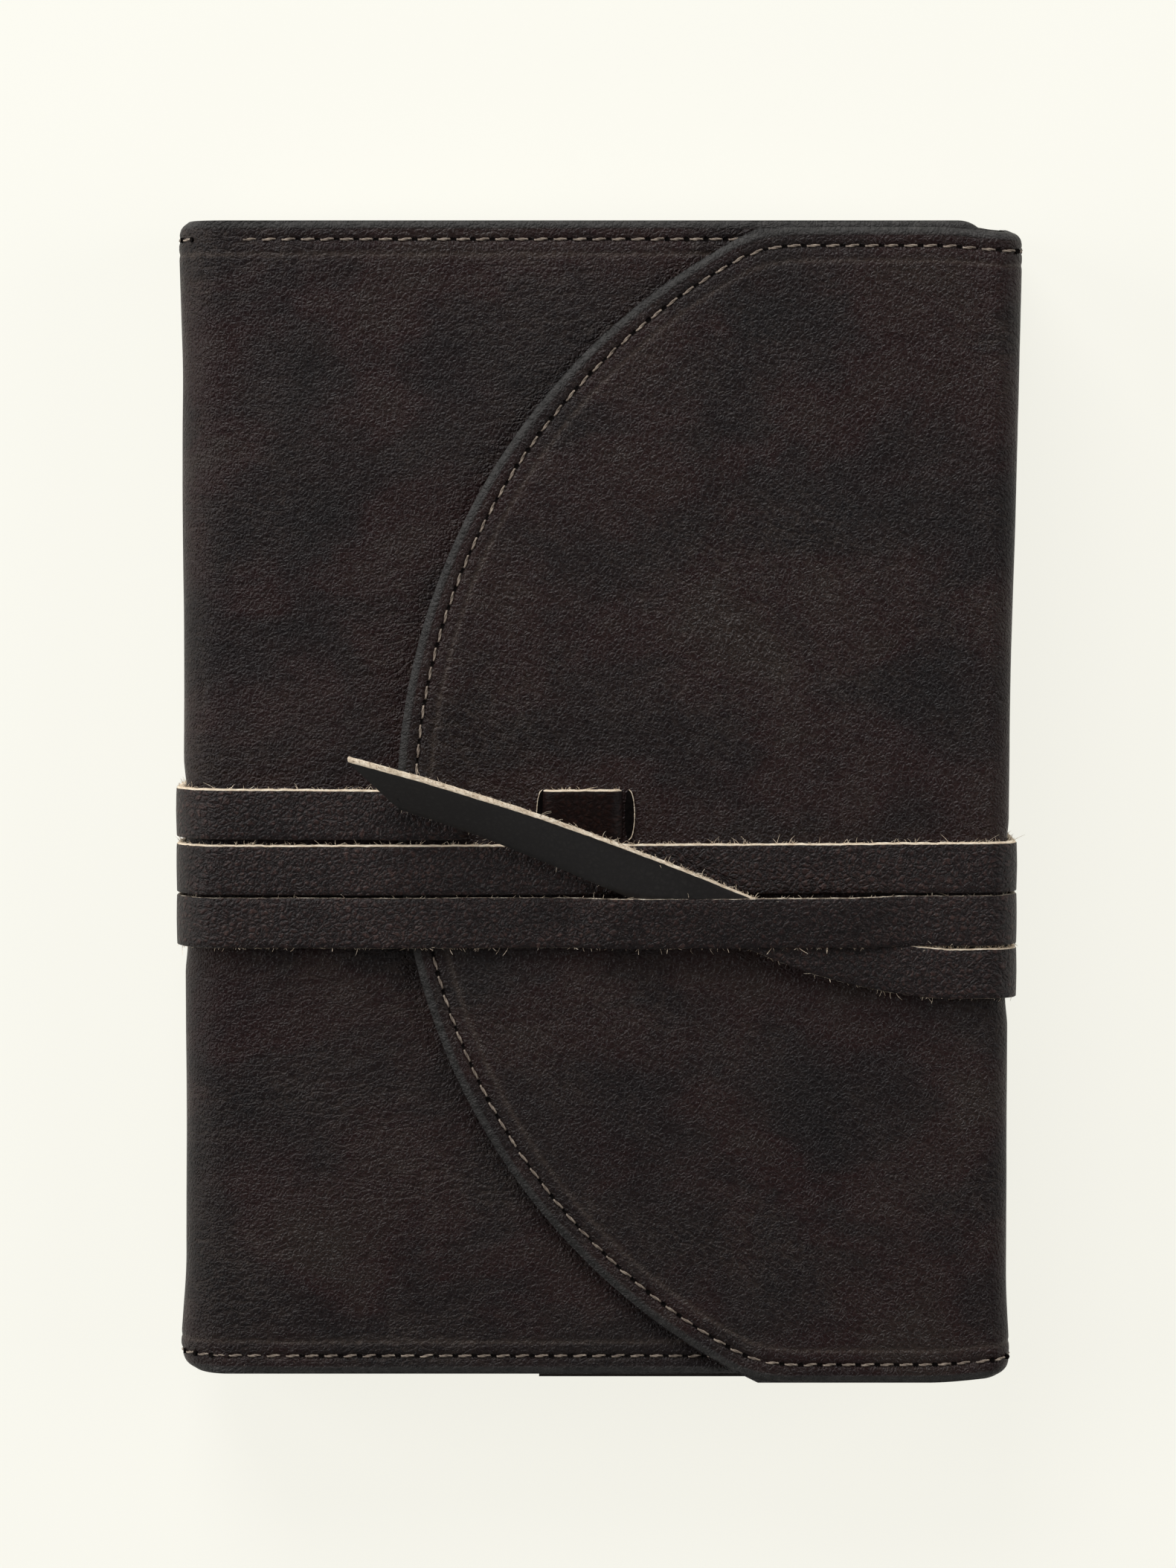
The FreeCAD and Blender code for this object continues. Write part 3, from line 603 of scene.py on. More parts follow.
def leather_depth(s, y, edge):
    """Return how far the leather's face lies inside the CAD face: edge, groove, crease and waves."""
    depth = edge_rounding(edge, EDGE_WIDTH, EDGE_DROP)
    depth = depth + 0.36 * bump(edge, STITCH_INSET, 0.62)
    depth += 0.14 * bump(edge, CREASE_INSET, 0.45)
    depth += 0.16 * (1 - smooth_step(edge, 0, 4.2))
    calm = 1 - 0.75 * fold_share(s)
    depth += 0.46 * lattice_noise(s, y, 37, 29, 11)
    depth += 0.22 * calm * lattice_noise(s, y, 13, 9, 12)
    depth += 0.07 * calm * lattice_noise(s, y, 24, 3.4, 13)
    return depth + SOFTENING * (bump(s, STOP[1] + 3, 9) + bump(s, STOP[4] - 3, 9)) * smooth_step(s, 0, 20)


def fold_share(s):
    """Return 1 on the folds' bends and walls, and 0 on the flat panels."""
    spine = smooth_step(s, STOP[1] - FOLD_FADE, STOP[1]) * (1 - smooth_step(s, STOP[4], STOP[4] + FOLD_FADE))
    fore = smooth_step(s, STOP[5] - FOLD_FADE, STOP[5]) * (1 - smooth_step(s, STOP[8], STOP[8] + FOLD_FADE))
    return spine + fore


def flap_slip(s):
    """Return how far the fold carries the flap towards the tail."""
    return -FLAP_SLIP * smooth_step(s, STOP[6], FLAP_START)


def dent(y, first, last):
    """Return how far the strap presses a fold in between two heights."""
    within = smooth_step(y, first, first + DENT_FADE) * (1 - smooth_step(y, last - DENT_FADE, last))
    return STRAP_DENT * within


def turn_in(y, head, tail):
    """Return how far a fold turns in at its ends, by the width and depth at each."""
    return edge_rounding(HALF - y, *head) + edge_rounding(HALF + y, *tail)


def flare(s, y):
    """Return how far the folds stand out towards the head and tail, before their corners turn in.

    The strap holds them in where it goes round.
    """
    spine = smooth_step(s, STOP[1], STOP[2]) * (1 - smooth_step(s, STOP[3], STOP[4]))
    fore = smooth_step(s, STOP[5], STOP[6]) * (1 - smooth_step(s, STOP[7], STOP[8] + 3))
    at_spine = 0.7 * smooth_step(y, 80, HALF) + 1.3 * smooth_step(-y, 88, HALF)
    at_fore = 2.0 * smooth_step(y, -10, HALF + 10) + 0.9 * smooth_step(-y, 90, HALF)
    at_spine = at_spine - dent(y, *SPINE_DENT) - turn_in(y, *SPINE_TURN_IN)
    at_fore = at_fore - dent(y, *FORE_DENT) - turn_in(y, *FORE_TURN_IN)
    return spine * at_spine + fore * at_fore


def shell_point(s, y, depth):
    """Return a point of the folded shell at a depth inside the outer face."""
    drawn_in = smooth_step(s, STOP[5] - 8, STOP[6]) * (1 - smooth_step(s, STOP[7], STOP[8] + 11))
    return SHELL.offset(s, y * (1 - FOLD_WAIST * drawn_in) + flap_slip(s), flare(s, y) - depth)


def grid(rows, columns):
    """Return two arrays, of the columns' and the rows' positions."""
    return np.meshgrid(columns, rows)


def front_grid(step):
    """Return s, y and edge distance over the sheet from the front's free edge to the middle of the spine."""
    s, y = grid(graded(-HALF, HALF, step), graded(0, MID_SPINE, step, True, False))
    inset = np.clip(FRONT_CORNER - (HALF - abs(y)), 0, FRONT_CORNER)
    shift = FRONT_CORNER - np.sqrt(FRONT_CORNER ** 2 - inset ** 2)
    s = s + shift * (1 - smooth_step(s, 0, 20))
    return s, y, rounded_distance(s, HALF - abs(y), FRONT_CORNER)


def plain_grid(first, last, step):
    """Return s, y and edge distance over a sheet with cut edges at head and tail only."""
    s, y = grid(graded(-HALF, HALF, step), graded(first, last, step, False, False))
    return s, y, HALF - abs(y)


def arc_s(y, inset):
    """Return where a line parallel to the flap's curved edge lies, measured along the leather."""
    x = FLAP_CENTRE_X - np.sqrt(np.maximum((FLAP_RADIUS - inset) ** 2 - y ** 2, 0))
    return FLAP_START + FORE_BEND_X - x


def inside_flap(s, y):
    """Return the distance inside the flap's arc and its head and tail edges, less at their corners."""
    x = FLAP_START + FORE_BEND_X - s
    from_arc = FLAP_RADIUS - np.hypot(x - FLAP_CENTRE_X, y)
    from_arc = np.where(s < FLAP_START, FLAP_RADIUS, from_arc)
    return soft_corner(from_arc, HALF - abs(y))


def flap_grid(step):
    """Return s, y and edge distance from the middle of the fore-edge to the flap's curved edge."""
    rows = graded(-HALF, HALF, step)
    near = edge_distances()[::-1]
    wall = np.linspace(MID_FORE, FLAP_START, 24)[:-1]
    count = int((FORE_BEND_X - FLAP_TIP_X) / step)
    shares = np.linspace(0, 1, count)[:-1]
    s = []
    for y in rows:
        last = arc_s(y, near[0])
        plate = FLAP_START + shares * (last - FLAP_START)
        s.append(np.concatenate([wall, plate, arc_s(y, near)]))
    s = np.array(s)
    y = np.repeat(rows[:, None], s.shape[1], 1)
    return s, y, np.maximum(inside_flap(s, y), 0)


def shell_sheet(name, cells, material):
    """Make one sheet of the outer leather."""
    s, y, edge = cells
    outer = shell_point(s, y, np.minimum(leather_depth(s, y, edge), LEATHER - THINNEST))
    inner = shell_point(s, y, LEATHER)
    cut = 1 - smooth_step(edge, EDGE_WIDTH * 0.7, EDGE_WIDTH)
    # The crease attribute paints a highlight along the crease line.
    crease = bump(edge, CREASE_INSET, 0.5)
    values = {"cut_edge": cut, "crease": crease}
    return closed_sheet(name, outer, inner, np.stack([s, y], -1), [material], values)


def lining_sheet(name, cells):
    """Make one sheet of the lining, inside the leather."""
    s, y, edge = cells
    top = LEATHER + SEAM_GAP
    fall = edge_rounding(edge, 0.5, 0.3)
    outer = shell_point(s, y, top + fall)
    inner = shell_point(s, y, top + LINING - fall)
    cut = 1 - smooth_step(edge, 0.3, 0.8)
    return closed_sheet(name, outer, inner, np.stack([s, y], -1), [LINING_LEATHER], {"cut_edge": cut})


# Each fold: its name, and where it begins and ends along the section.
FOLD_ENDS = [("front", 0, MID_SPINE), ("spine", MID_SPINE, MID_BACK), ("fore", MID_BACK, MID_FORE),
             ("flap", MID_FORE, SHELL.length)]
STANDS_FOR = {"front": ["front"], "spine": ["spine", "back"], "fore": ["fore_edge"], "flap": ["flap"]}


def bend_with(piece):
    """Bake a piece's placement into its mesh."""
    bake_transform(piece)


def build_shell():
    """Make the four sheets of outer leather and the four of lining."""
    cells = {
        "front": front_grid(GRID_STEP),
        "spine": plain_grid(MID_SPINE, MID_BACK, GRID_STEP),
        "fore": plain_grid(MID_BACK, MID_FORE, GRID_STEP),
        "flap": flap_grid(GRID_STEP * 0.8),
    }
    for fold, part in cells.items():
        material = FLAP_LEATHER if fold in ("fore", "flap") else FRONT_LEATHER
        leather = shell_sheet(f"leather_{fold}_sheet", part, material)
        lining = lining_sheet(f"lining_{fold}_sheet", part)
        for piece, kind in ((leather, "leather"), (lining, "lining")):
            bend_with(piece)
            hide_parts(*[f"{kind}_{panel}" for panel in STANDS_FOR[fold]])


build_shell()


# ---- stitching: a twisted two-ply stitch between each pair of holes ----

THREAD_RISE = 0.13         # the thread's centre above the groove's floor
PLY = 0.16                 # radius of a ply
HOLE_RADIUS = 0.50         # radius of a stitch hole
HOLE_SIDES = 12
STITCH_RINGS = 11          # rings of points along a ply, and points in each
PLY_SIDES = 6


def stitch_places():
    """Return s and y along the whole stitch line: the head row, the tail row and the flap's arc."""
    row = HALF - STITCH_INSET
    radius = FLAP_RADIUS - STITCH_INSET
    corner_angle = math.asin(row / radius)
    corner_s = float(arc_s(np.array(row), STITCH_INSET))
    first_s = FRONT_CORNER
    places = []
    for side in (1, -1):
        count = int((corner_s - first_s) / STITCH_PITCH)
        s = corner_s - STITCH_PITCH * (np.arange(count) + 0.5)
        places.append((s, np.full(count, side * row)))
    count = int(2 * corner_angle * radius / STITCH_PITCH)
    angles = corner_angle * ((2 * np.arange(count) + 1) / count - 1)
    x = FLAP_CENTRE_X - radius * np.cos(angles)
    places.append((FLAP_START + FORE_BEND_X - x, radius * np.sin(angles)))
    places = [rounded_off(s, y) for s, y in places]
    down = np.arange(-row + STITCH_PITCH, row - STITCH_PITCH, STITCH_PITCH)
    places.append((np.full(len(down), STITCH_INSET), down))
    return places


def rounded_off(s, y):
    """Return stitch places moved inwards where the stitch line rounds the flap's corners."""
    inside = np.clip(STITCH_INSET - inside_flap(s, y), 0, CORNER_BLEND / 4)
    return s - 0.23 * inside, y - 0.97 * np.sign(y) * inside


def stitch_frames():
    """Return the centre, direction along, direction outwards and s of every stitch."""
    frames = []
    for s, y in stitch_places():
        half = 0.5 * STITCH_PITCH
        step_s, step_y = np.gradient(s), np.gradient(y)
        length = np.hypot(step_s, step_y)
        ahead_s, ahead_y = step_s / length * half, step_y / length * half
        depth = leather_depth(s, y, STITCH_INSET) - THREAD_RISE
        before = shell_point(s - ahead_s, y - ahead_y, depth)
        after = shell_point(s + ahead_s, y + ahead_y, depth)
        middle = shell_point(s, y, depth)
        along = after - before
        along /= np.linalg.norm(along, axis=-1, keepdims=True)
        heading = SHELL.at(s)[2]
        outwards = np.stack([np.sin(heading), 0 * s, -np.cos(heading)], -1)
        frames += list(zip(middle, along, outwards, s))
    return frames


def stitch_shape(centre, along, outwards, slant):
    """Return points and faces of two plies twisted together, dipping into a hole at each end."""
    across = np.cross(outwards, along)
    along = along * math.cos(slant) + across * math.sin(slant)
    across = np.cross(outwards, along)
    t = np.linspace(-1, 1, STITCH_RINGS)
    reach = 0.385 * STITCH_PITCH
    points, faces = [], []
    for ply in (0, 1):
        twist = 2.8 * t + ply * math.pi
        dip = -0.5 * np.clip(abs(t) - 0.7, 0, 1) ** 1.4 * 4
        side = 0.72 * PLY * np.cos(twist)
        lift = 0.72 * PLY * np.sin(twist) + dip
        line = centre + np.outer(t * reach, along) + np.outer(side, across) + np.outer(lift, outwards)
        radius = PLY * np.sqrt(np.clip(1 - (abs(t) - 0.78).clip(0) ** 2 * 14, 0.15, 1))
        sides = np.repeat(across[None], STITCH_RINGS, 0)
        ups = np.repeat(outwards[None], STITCH_RINGS, 0)
        ring, skin = tube(line, sides, ups, radius, PLY_SIDES)
        add_shape(points, faces, ring, skin)
    return np.concatenate(points), faces


def hole_shape(centre, along, outwards):
    """Return points and faces of the dish of painted shade that stands for a stitch hole."""
    across = np.cross(outwards, along)
    turns = np.arange(HOLE_SIDES) * 2 * math.pi / HOLE_SIDES
    rim = HOLE_RADIUS * (np.outer(np.cos(turns), along) + np.outer(np.sin(turns), across))
    levels = ((1.0, -0.40), (1.0, 0.02), (0.8, -0.06))
    points = np.concatenate([centre + rim * share + rise * outwards for share, rise in levels])
    faces = [list(range(HOLE_SIDES))[::-1], [2 * HOLE_SIDES + k for k in range(HOLE_SIDES)]]
    for first in (0, HOLE_SIDES):
        for k in range(HOLE_SIDES):
            following = first + (k + 1) % HOLE_SIDES
            faces.append([first + k, following, following + HOLE_SIDES, first + k + HOLE_SIDES])
    return points, faces


def build_stitching():
    """Make the stitches and the dishes of painted shade that stand for their holes, grouped by the fold whose
    sheet they are in.
    """
    groups = {fold: ([], [], []) for fold, _, _ in FOLD_ENDS}
    slants = np.random.default_rng(5)
    for centre, along, outwards, s in stitch_frames():
        fold = next(name for name, first, last in FOLD_ENDS if first <= s <= last + 1)
        points, faces, kinds = groups[fold]
        shapes = [
            stitch_shape(centre, along, outwards, math.radians(7 + slants.normal() * 2.5)),
            hole_shape(centre + along * STITCH_PITCH / 2, along, outwards),
        ]
        for kind, (shape_points, shape_faces) in enumerate(shapes):
            add_shape(points, faces, shape_points, shape_faces)
            kinds += [kind] * len(shape_faces)
    for fold, (points, faces, kinds) in groups.items():
        points = np.concatenate(points)
        piece = make_mesh(f"stitches_{fold}", points, faces, [THREAD, HOLE_SHADE], face_materials=kinds)
        bend_with(piece)
        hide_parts(*[f"stitching_{panel}" for panel in STANDS_FOR[fold]])


build_stitching()


# ---- the strap ----

STRAP_SHARE = 0.98         # the strap's real width, as a share of its section's
FIBRE = 0.06               # radius of a loose tuft of fibres
SHORT_FIBRE = 0.45         # least length of a tuft
FIBRE_SPREAD = 0.33        # mean length beyond the least
UPPER_COLUMN = 9           # places in the strap's section of its upper and lower raw edges
LOWER_COLUMN = 19


def strap_profile(bevel):
    """Return the strap's section as rows of width, height and rawness. The bevel is of its upper raw edge."""
    face = [(-4.74, 1.46, 0.0), (-3.6, 1.50, 0.0), (-1.8, 1.53, 0.0), (0.0, 1.54, 0.0), (1.8, 1.53, 0.0),
            (3.6, 1.50, 0.0), (4.80 - bevel, 1.45, 0.1)]
    upper_edge = [(4.92 - bevel * 0.72, 1.36, 0.8), (4.96 - bevel * 0.3, 1.08, 1.0), (4.97, 0.75, 1.0),
                  (4.92, 0.36, 1.0), (4.78, 0.07, 1.0)]
    flesh = [(4.4, 0.0, 0.9), (2.2, 0.0, 0.8), (0.0, 0.0, 0.8), (-2.2, 0.0, 0.8), (-4.4, 0.0, 0.9)]
    lower_edge = [(-4.78, 0.07, 1.0), (-4.85, 0.36, 1.0), (-4.88, 0.78, 1.0), (-4.90, 1.20, 0.9),
                  (-4.86, 1.38, 0.4)]
    return np.array(face + upper_edge + flesh + lower_edge)


def corner_path(points, radii):
    """Return a path through corners in the XZ plane, each rounded to a radius."""
    runs = []
    taken = 0.0
    heading = math.degrees(math.atan2(points[1][1] - points[0][1], points[1][0] - points[0][0]))
    angles = [math.atan2(b[1] - a[1], b[0] - a[0]) for a, b in zip(points, points[1:])]
    lengths = [math.dist(a, b) for a, b in zip(points, points[1:])]
    for n, length in enumerate(lengths):
        if n == len(radii):
            runs.append((length - taken, 0))
            break
        turn = (angles[n + 1] - angles[n] + math.pi) % (2 * math.pi) - math.pi
        tangent = radii[n] * math.tan(abs(turn) / 2)
        runs.append((length - taken - tangent, 0))
        runs.append((radii[n] * abs(turn), math.degrees(turn)))
        taken = tangent
    return Path(*points[0], heading, runs)


def fibres(edge, outwards, along, ups, per_mm, rng):
    """Return points and faces of fine loose fibres that stand out from a raw edge."""
    points, faces = [], []
    lengths = np.linalg.norm(np.diff(edge, axis=0), axis=1)
    count = int(lengths.sum() * per_mm)
    for place in rng.integers(2, len(edge) - 2, count):
        length = SHORT_FIBRE + rng.exponential(FIBRE_SPREAD)
        turn = rng.normal(0, 0.9)
        start = outwards[place] * math.cos(turn) + along[place] * math.sin(turn)
        start = start + ups[place] * rng.uniform(-0.2, 0.7)
        bend = along[place] * rng.normal(0, 0.9) + ups[place] * rng.normal(0, 0.4)
        base = edge[place] - 0.12 * outwards[place] + ups[place] * rng.uniform(-0.5, 0.4)
        t = np.linspace(0, 1, 4)[:, None]
        line = base + length * (start * t + 0.5 * bend * t ** 2)
        side = np.repeat(np.cross(start, [0.31, 0.52, 0.79])[None], 4, 0)
        side /= np.linalg.norm(side, axis=1, keepdims=True)
        up = np.cross(start / np.linalg.norm(start), side)
        ring, skin = tube(line, side, up, FIBRE * (1.1 - 0.7 * t[:, 0]), 3)
        add_shape(points, faces, ring, skin)
    return np.concatenate(points), faces


def ribbon(name, centres, normals, materials=None, skew=0.0, seed=0, bevel=0.35, change=None,
           rawness=(1.0, 0.0), fuzz=(1.6, 0.0)):
    """Make a strap on a centre line with outward normals.

    skew cuts its end aslant and change is where its second material starts. rawness is how pale its upper and
    lower raw edges are, below 1 painting shade on an edge that lies in shadow; fuzz is the loose fibres per
    millimetre on them.
    """
    tangents = np.gradient(centres, axis=0)
    tangents /= np.linalg.norm(tangents, axis=1, keepdims=True)
    sideways = np.cross(tangents, normals)
    sideways /= np.linalg.norm(sideways, axis=1, keepdims=True)
    normals = np.cross(sideways, tangents)
    steps = np.linalg.norm(np.diff(centres, axis=0), axis=1)
    s = np.concatenate([[0], np.cumsum(steps)])
    u, h, raw = strap_profile(bevel).T
    ragged = 0.16 * (lattice_noise(s[:, None], u[None] * 3 + h[None], 0.9, 1.3, seed + 3) - 0.5) * raw
    wander = 0.10 * (lattice_noise(s[:, None], np.sign(u)[None], 7.0, 1.0, seed + 4) - 0.5)
    width = u[None] * (STRAP_SHARE + ragged / 5) + wander
    slide = skew * (u[None] - 4.9) * smooth_step(s, s[-1] - 14, s[-1])[:, None]
    swell = 0.05 * lattice_noise(s[:, None], u[None], 5, 3, seed + 5) * (h > 1)
    points = (centres[:, None] + width[..., None] * sideways[:, None]
              + (h[None] + swell)[..., None] * normals[:, None] + slide[..., None] * tangents[:, None])
    rows, around = points.shape[:2]
    index = np.arange(rows * around).reshape(rows, around)
    wrapped = np.concatenate([index, index[:, :1]], 1)
    faces = np.stack([wrapped[:-1, :-1], wrapped[:-1, 1:], wrapped[1:, 1:], wrapped[1:, :-1]], -1)
    faces = [list(f) for f in faces.reshape(-1, 4)] + [list(index[0][::-1]), list(index[-1])]
    flat = np.stack([np.repeat(s[:, None], around, 1) + slide, np.repeat(u[None], rows, 0) + seed * 31], -1)
    first_rows = rows if change is None else int(np.searchsorted(s, change))
    kinds = np.zeros(len(faces), int)
    kinds[(first_rows - 1) * around:] = 1 if change is not None else 0
    # Painted shade: raw edges that lie in shadow, as the lower edges of strands 1 and 2 in the gaps below
    # them, are made less pale.
    pale = raw * np.select([u > 4.4, (u < -4.4) & (h > 0)], rawness, 1)
    pale = np.repeat(pale[None], rows, 0).ravel()
    points = points.reshape(-1, 3)
    flat = flat.reshape(-1, 2)
    rng = np.random.default_rng(seed + 60)
    for column, side, per_mm in ((UPPER_COLUMN, 1, fuzz[0]), (LOWER_COLUMN, -1, fuzz[1])):
        if not per_mm:
            continue
        edge = points[index[:, column]]
        hair, skin = fibres(edge, side * sideways, tangents, normals, per_mm, rng)
        faces += [[v + len(points) for v in face] for face in skin]
        points = np.concatenate([points, hair])
        flat = np.concatenate([flat, hair[:, :2]])
        pale = np.concatenate([pale, np.ones(len(hair))])
        kinds = np.concatenate([kinds, np.zeros(len(skin), int)])
    points[:, 2] = np.maximum(points[:, 2], 0)
    return make_mesh(name, points, faces, materials or [STRAP_LEATHER], flat, {"raw": pale}, kinds, sharp=70)


def along_path(path, y_ends, lift=None, roll=None, step=0.8):
    """Return centres and normals of a strap on a path, drifting evenly in Y between its two ends."""
    s = np.linspace(0, path.length, int(path.length / step) + 1)
    x, z, heading = path.at(s)
    centres = np.stack([x, y_ends[0] + (y_ends[1] - y_ends[0]) * s / path.length, z], -1)
    normals = np.stack([np.sin(heading), 0 * s, -np.cos(heading)], -1)
    if lift is not None:
        centres += lift(x, z)[:, None] * normals
    if roll is not None:
        angle = roll(x, z)[:, None]
        normals = normals * np.cos(angle) - np.array([[0, 1.0, 0]]) * np.sin(angle)
    return centres, normals


STRAND_Z = FLAP_Z + STRAP_GAP
SLIT_X = (low("strap_lacing")[0] + STRAP / 2, -11.3, 6.6)
LEFT_Y = (-2.3, -13.2, -23.4)
RIGHT_Y = (-12.2, -22.4, -32.7)
EDGE_X = FLAP_TIP_X - 0.5


def spine_corners():
    """Return the strap's corners from the flap's edge down over the spine to the back."""
    radius = SPINE_BEND + STRAP_GAP
    reach = EDGE_X - SPINE_BEND_X
    rise = STRAND_Z - (FRONT_Z - SPINE_BEND)
    slope = math.atan2(rise, reach) - math.asin(radius / math.hypot(reach, rise))
    side_x = SPINE_X - STRAP_GAP + STRAP_DENT
    corner_z = STRAND_Z - (EDGE_X - side_x) * math.tan(slope)
    return [(EDGE_X, STRAND_Z), (side_x, corner_z), (side_x, STRAP), (SPINE_BEND_X, STRAP)]


FORE_SIDE_X = FORE_X + STRAP_GAP - STRAP_DENT * 0.5
FORE_CORNERS = [(FORE_BEND_X, STRAP), (FORE_SIDE_X, STRAP), (FORE_SIDE_X, STRAND_Z)]
SPINE_RADII = [6.0, SPINE_BEND + STRAP_GAP, SPINE_BEND + STRAP_GAP]
FORE_RADII = [FORE_BEND + STRAP_GAP] * 2


OVER_TAIL_RISE = 2.35      # the third strand is lifted this far by the tail under it
OVER_TAIL_ROLL = math.radians(7)


def over_tail(x, z):
    """Return 1 where the third strand rides over the tail."""
    on_top = z > FLAP_Z - 1
    return smooth_step(x, -6, 4) * (1 - smooth_step(x, 46, 62)) * on_top


def smooth_route(points, step):
    """Return points and their other values, evenly close along a smooth curve through them."""
    points = np.array(points, float)
    padded = np.concatenate([2 * points[:1] - points[1:2], points, 2 * points[-1:] - points[-2:-1]])
    found = []
    for a, b, c, d in zip(padded, padded[1:], padded[2:], padded[3:]):
        count = max(2, int(np.linalg.norm((c - b)[:3]) / step))
        for t in np.arange(count) / count:
            found.append(0.5 * (2 * b + (c - a) * t + (2 * a - 5 * b + 4 * c - d) * t ** 2
                                + (3 * b - a - 3 * c + d) * t ** 3))
    found.append(points[-1])
    return np.array(found)


TAIL_CHANGE = 46.0         # the smooth end of the strap starts this far over the front

# The tail's route over the front: X, Y, height of its middle above the flap's strands, and roll in degrees.
TAIL_ROUTE = [
    (74.0, RIGHT_Y[2], 0.0, 0),
    (66.0, RIGHT_Y[2], 0.0, 0),
    (56.0, -31.4, 0.1, 0),
    (43.0, -28.3, 0.7, 0),
    (31.0, -23.6, 1.4, 4),
    (20.0, -18.8, 2.4, 12),
    (7.5, -13.3, 3.6, 22),
    (-8.3, -6.8, 4.5, 32),
    (-21.0, -2.0, 5.1, 40),
    (-34.0, 2.3, 5.4, 44),
    (-48.2, 6.4, 5.6, 46),
]


def build_tail():
    """Make the strap's last run, under the third strand and over the others, with its slanting end."""
    side = corner_path(FORE_CORNERS + [(75.0, STRAND_Z)], FORE_RADII)
    side_centres, side_normals = along_path(side, (RIGHT_Y[2], RIGHT_Y[2]))
    route = smooth_route(TAIL_ROUTE, 0.8) + np.array([0, 0, STRAND_Z, 0])
    roll = np.radians(route[:, 3])
    tangents = np.gradient(route[:, :3], axis=0)
    tangents /= np.linalg.norm(tangents, axis=1, keepdims=True)
    up = np.array([[0.0, 0.0, 1.0]])
    across = np.cross(tangents, up)
    normals = up * np.cos(roll)[:, None] - across * np.sin(roll)[:, None]
    centres = np.concatenate([side_centres, route[:, :3]])
    return ribbon("strap_tail_end", centres, np.concatenate([side_normals, normals]),
                  [STRAP_LEATHER, TAIL_SHEEN_LEATHER], skew=1.25, seed=4, bevel=0.25,
                  change=side.length + TAIL_CHANGE, rawness=(1.0, 0.9), fuzz=(4.0, 0.8))


def build_strap():
    """Make every stretch of the strap."""
    slit_top = (SLIT_X[0] - 0.2, STRAND_Z - 2.2)
    first = corner_path([slit_top, (SLIT_X[0] - 0.2, STRAND_Z)] + spine_corners(), [1.2] + SPINE_RADII)
    middle = corner_path(FORE_CORNERS + spine_corners(), FORE_RADII + SPINE_RADII)
    third = along_path(middle, (RIGHT_Y[1], LEFT_Y[2]), lambda x, z: OVER_TAIL_RISE * over_tail(x, z),
                       lambda x, z: OVER_TAIL_ROLL * over_tail(x, z))
    turns = [
        ribbon("strap_strand_1", *along_path(first, (LEFT_Y[0], LEFT_Y[0])), seed=1),
        ribbon("strap_strand_2", *along_path(middle, (RIGHT_Y[0], LEFT_Y[1])), seed=2),
        # Strand 3's upper raw edge is half pale: painted shade for the dark gap above it.
        ribbon("strap_strand_3", *third, seed=3, bevel=0.03, rawness=(0.52, 0.9), fuzz=(0.5, 1.2)),
        build_tail(),
    ]
    for piece, node in zip(turns, ("strap_turn_1", "strap_turn_2", "strap_turn_3", "strap_tail")):
        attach(piece, "back_cover")
        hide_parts(node)
        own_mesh(piece)
    flat_run = Path(SPINE_BEND_X, STRAP, 0, [(BACK_RUN, 0)])
    for n, ends in enumerate(zip(LEFT_Y, RIGHT_Y)):
        piece = ribbon(f"strap_back_run_{n + 1}", *along_path(flat_run, ends), seed=5 + n, fuzz=(0, 0))
        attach(piece, "back_cover")
        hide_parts("strap_back_runs")
    build_bridge()


def build_bridge():
    """Make the short stretch of strap between two slits, in a leather darkened with painted shade, and the
    slits' pale lips and the blocks of painted shade that stand for their insides.
    """
    under = FLAP_Z - LEATHER
    left_x, right_x = SLIT_X[1] + 1.9, SLIT_X[2] - 2.9
    corners = [(right_x, under), (right_x, STRAND_Z - 0.2), (left_x, STRAND_Z - 0.2), (left_x, under)]
    centres, normals = along_path(corner_path(corners, [2.0, 1.3]), (LEFT_Y[0], LEFT_Y[0]), step=0.3)
    piece = ribbon("strap_bridge", centres, normals, [BRIDGE_SHADED_LEATHER], seed=9)
    points, faces, kinds = [], [], []
    for x, outwards in ((SLIT_X[1], -1), (SLIT_X[2], 1)):
        for shape_points, shape_faces, kind in slit_shapes(x, outwards):
            add_shape(points, faces, shape_points, shape_faces)
            kinds += [kind] * len(shape_faces)
    points = np.concatenate(points)
    values = {"raw": np.ones(len(points))}
    lips = make_mesh("slit_lips", points, faces, [STRAP_LEATHER, HOLE_SHADE], points[:, :2], values, kinds)
    for part in (piece, lips):
        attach(part, "flap")
        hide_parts("strap_lacing")


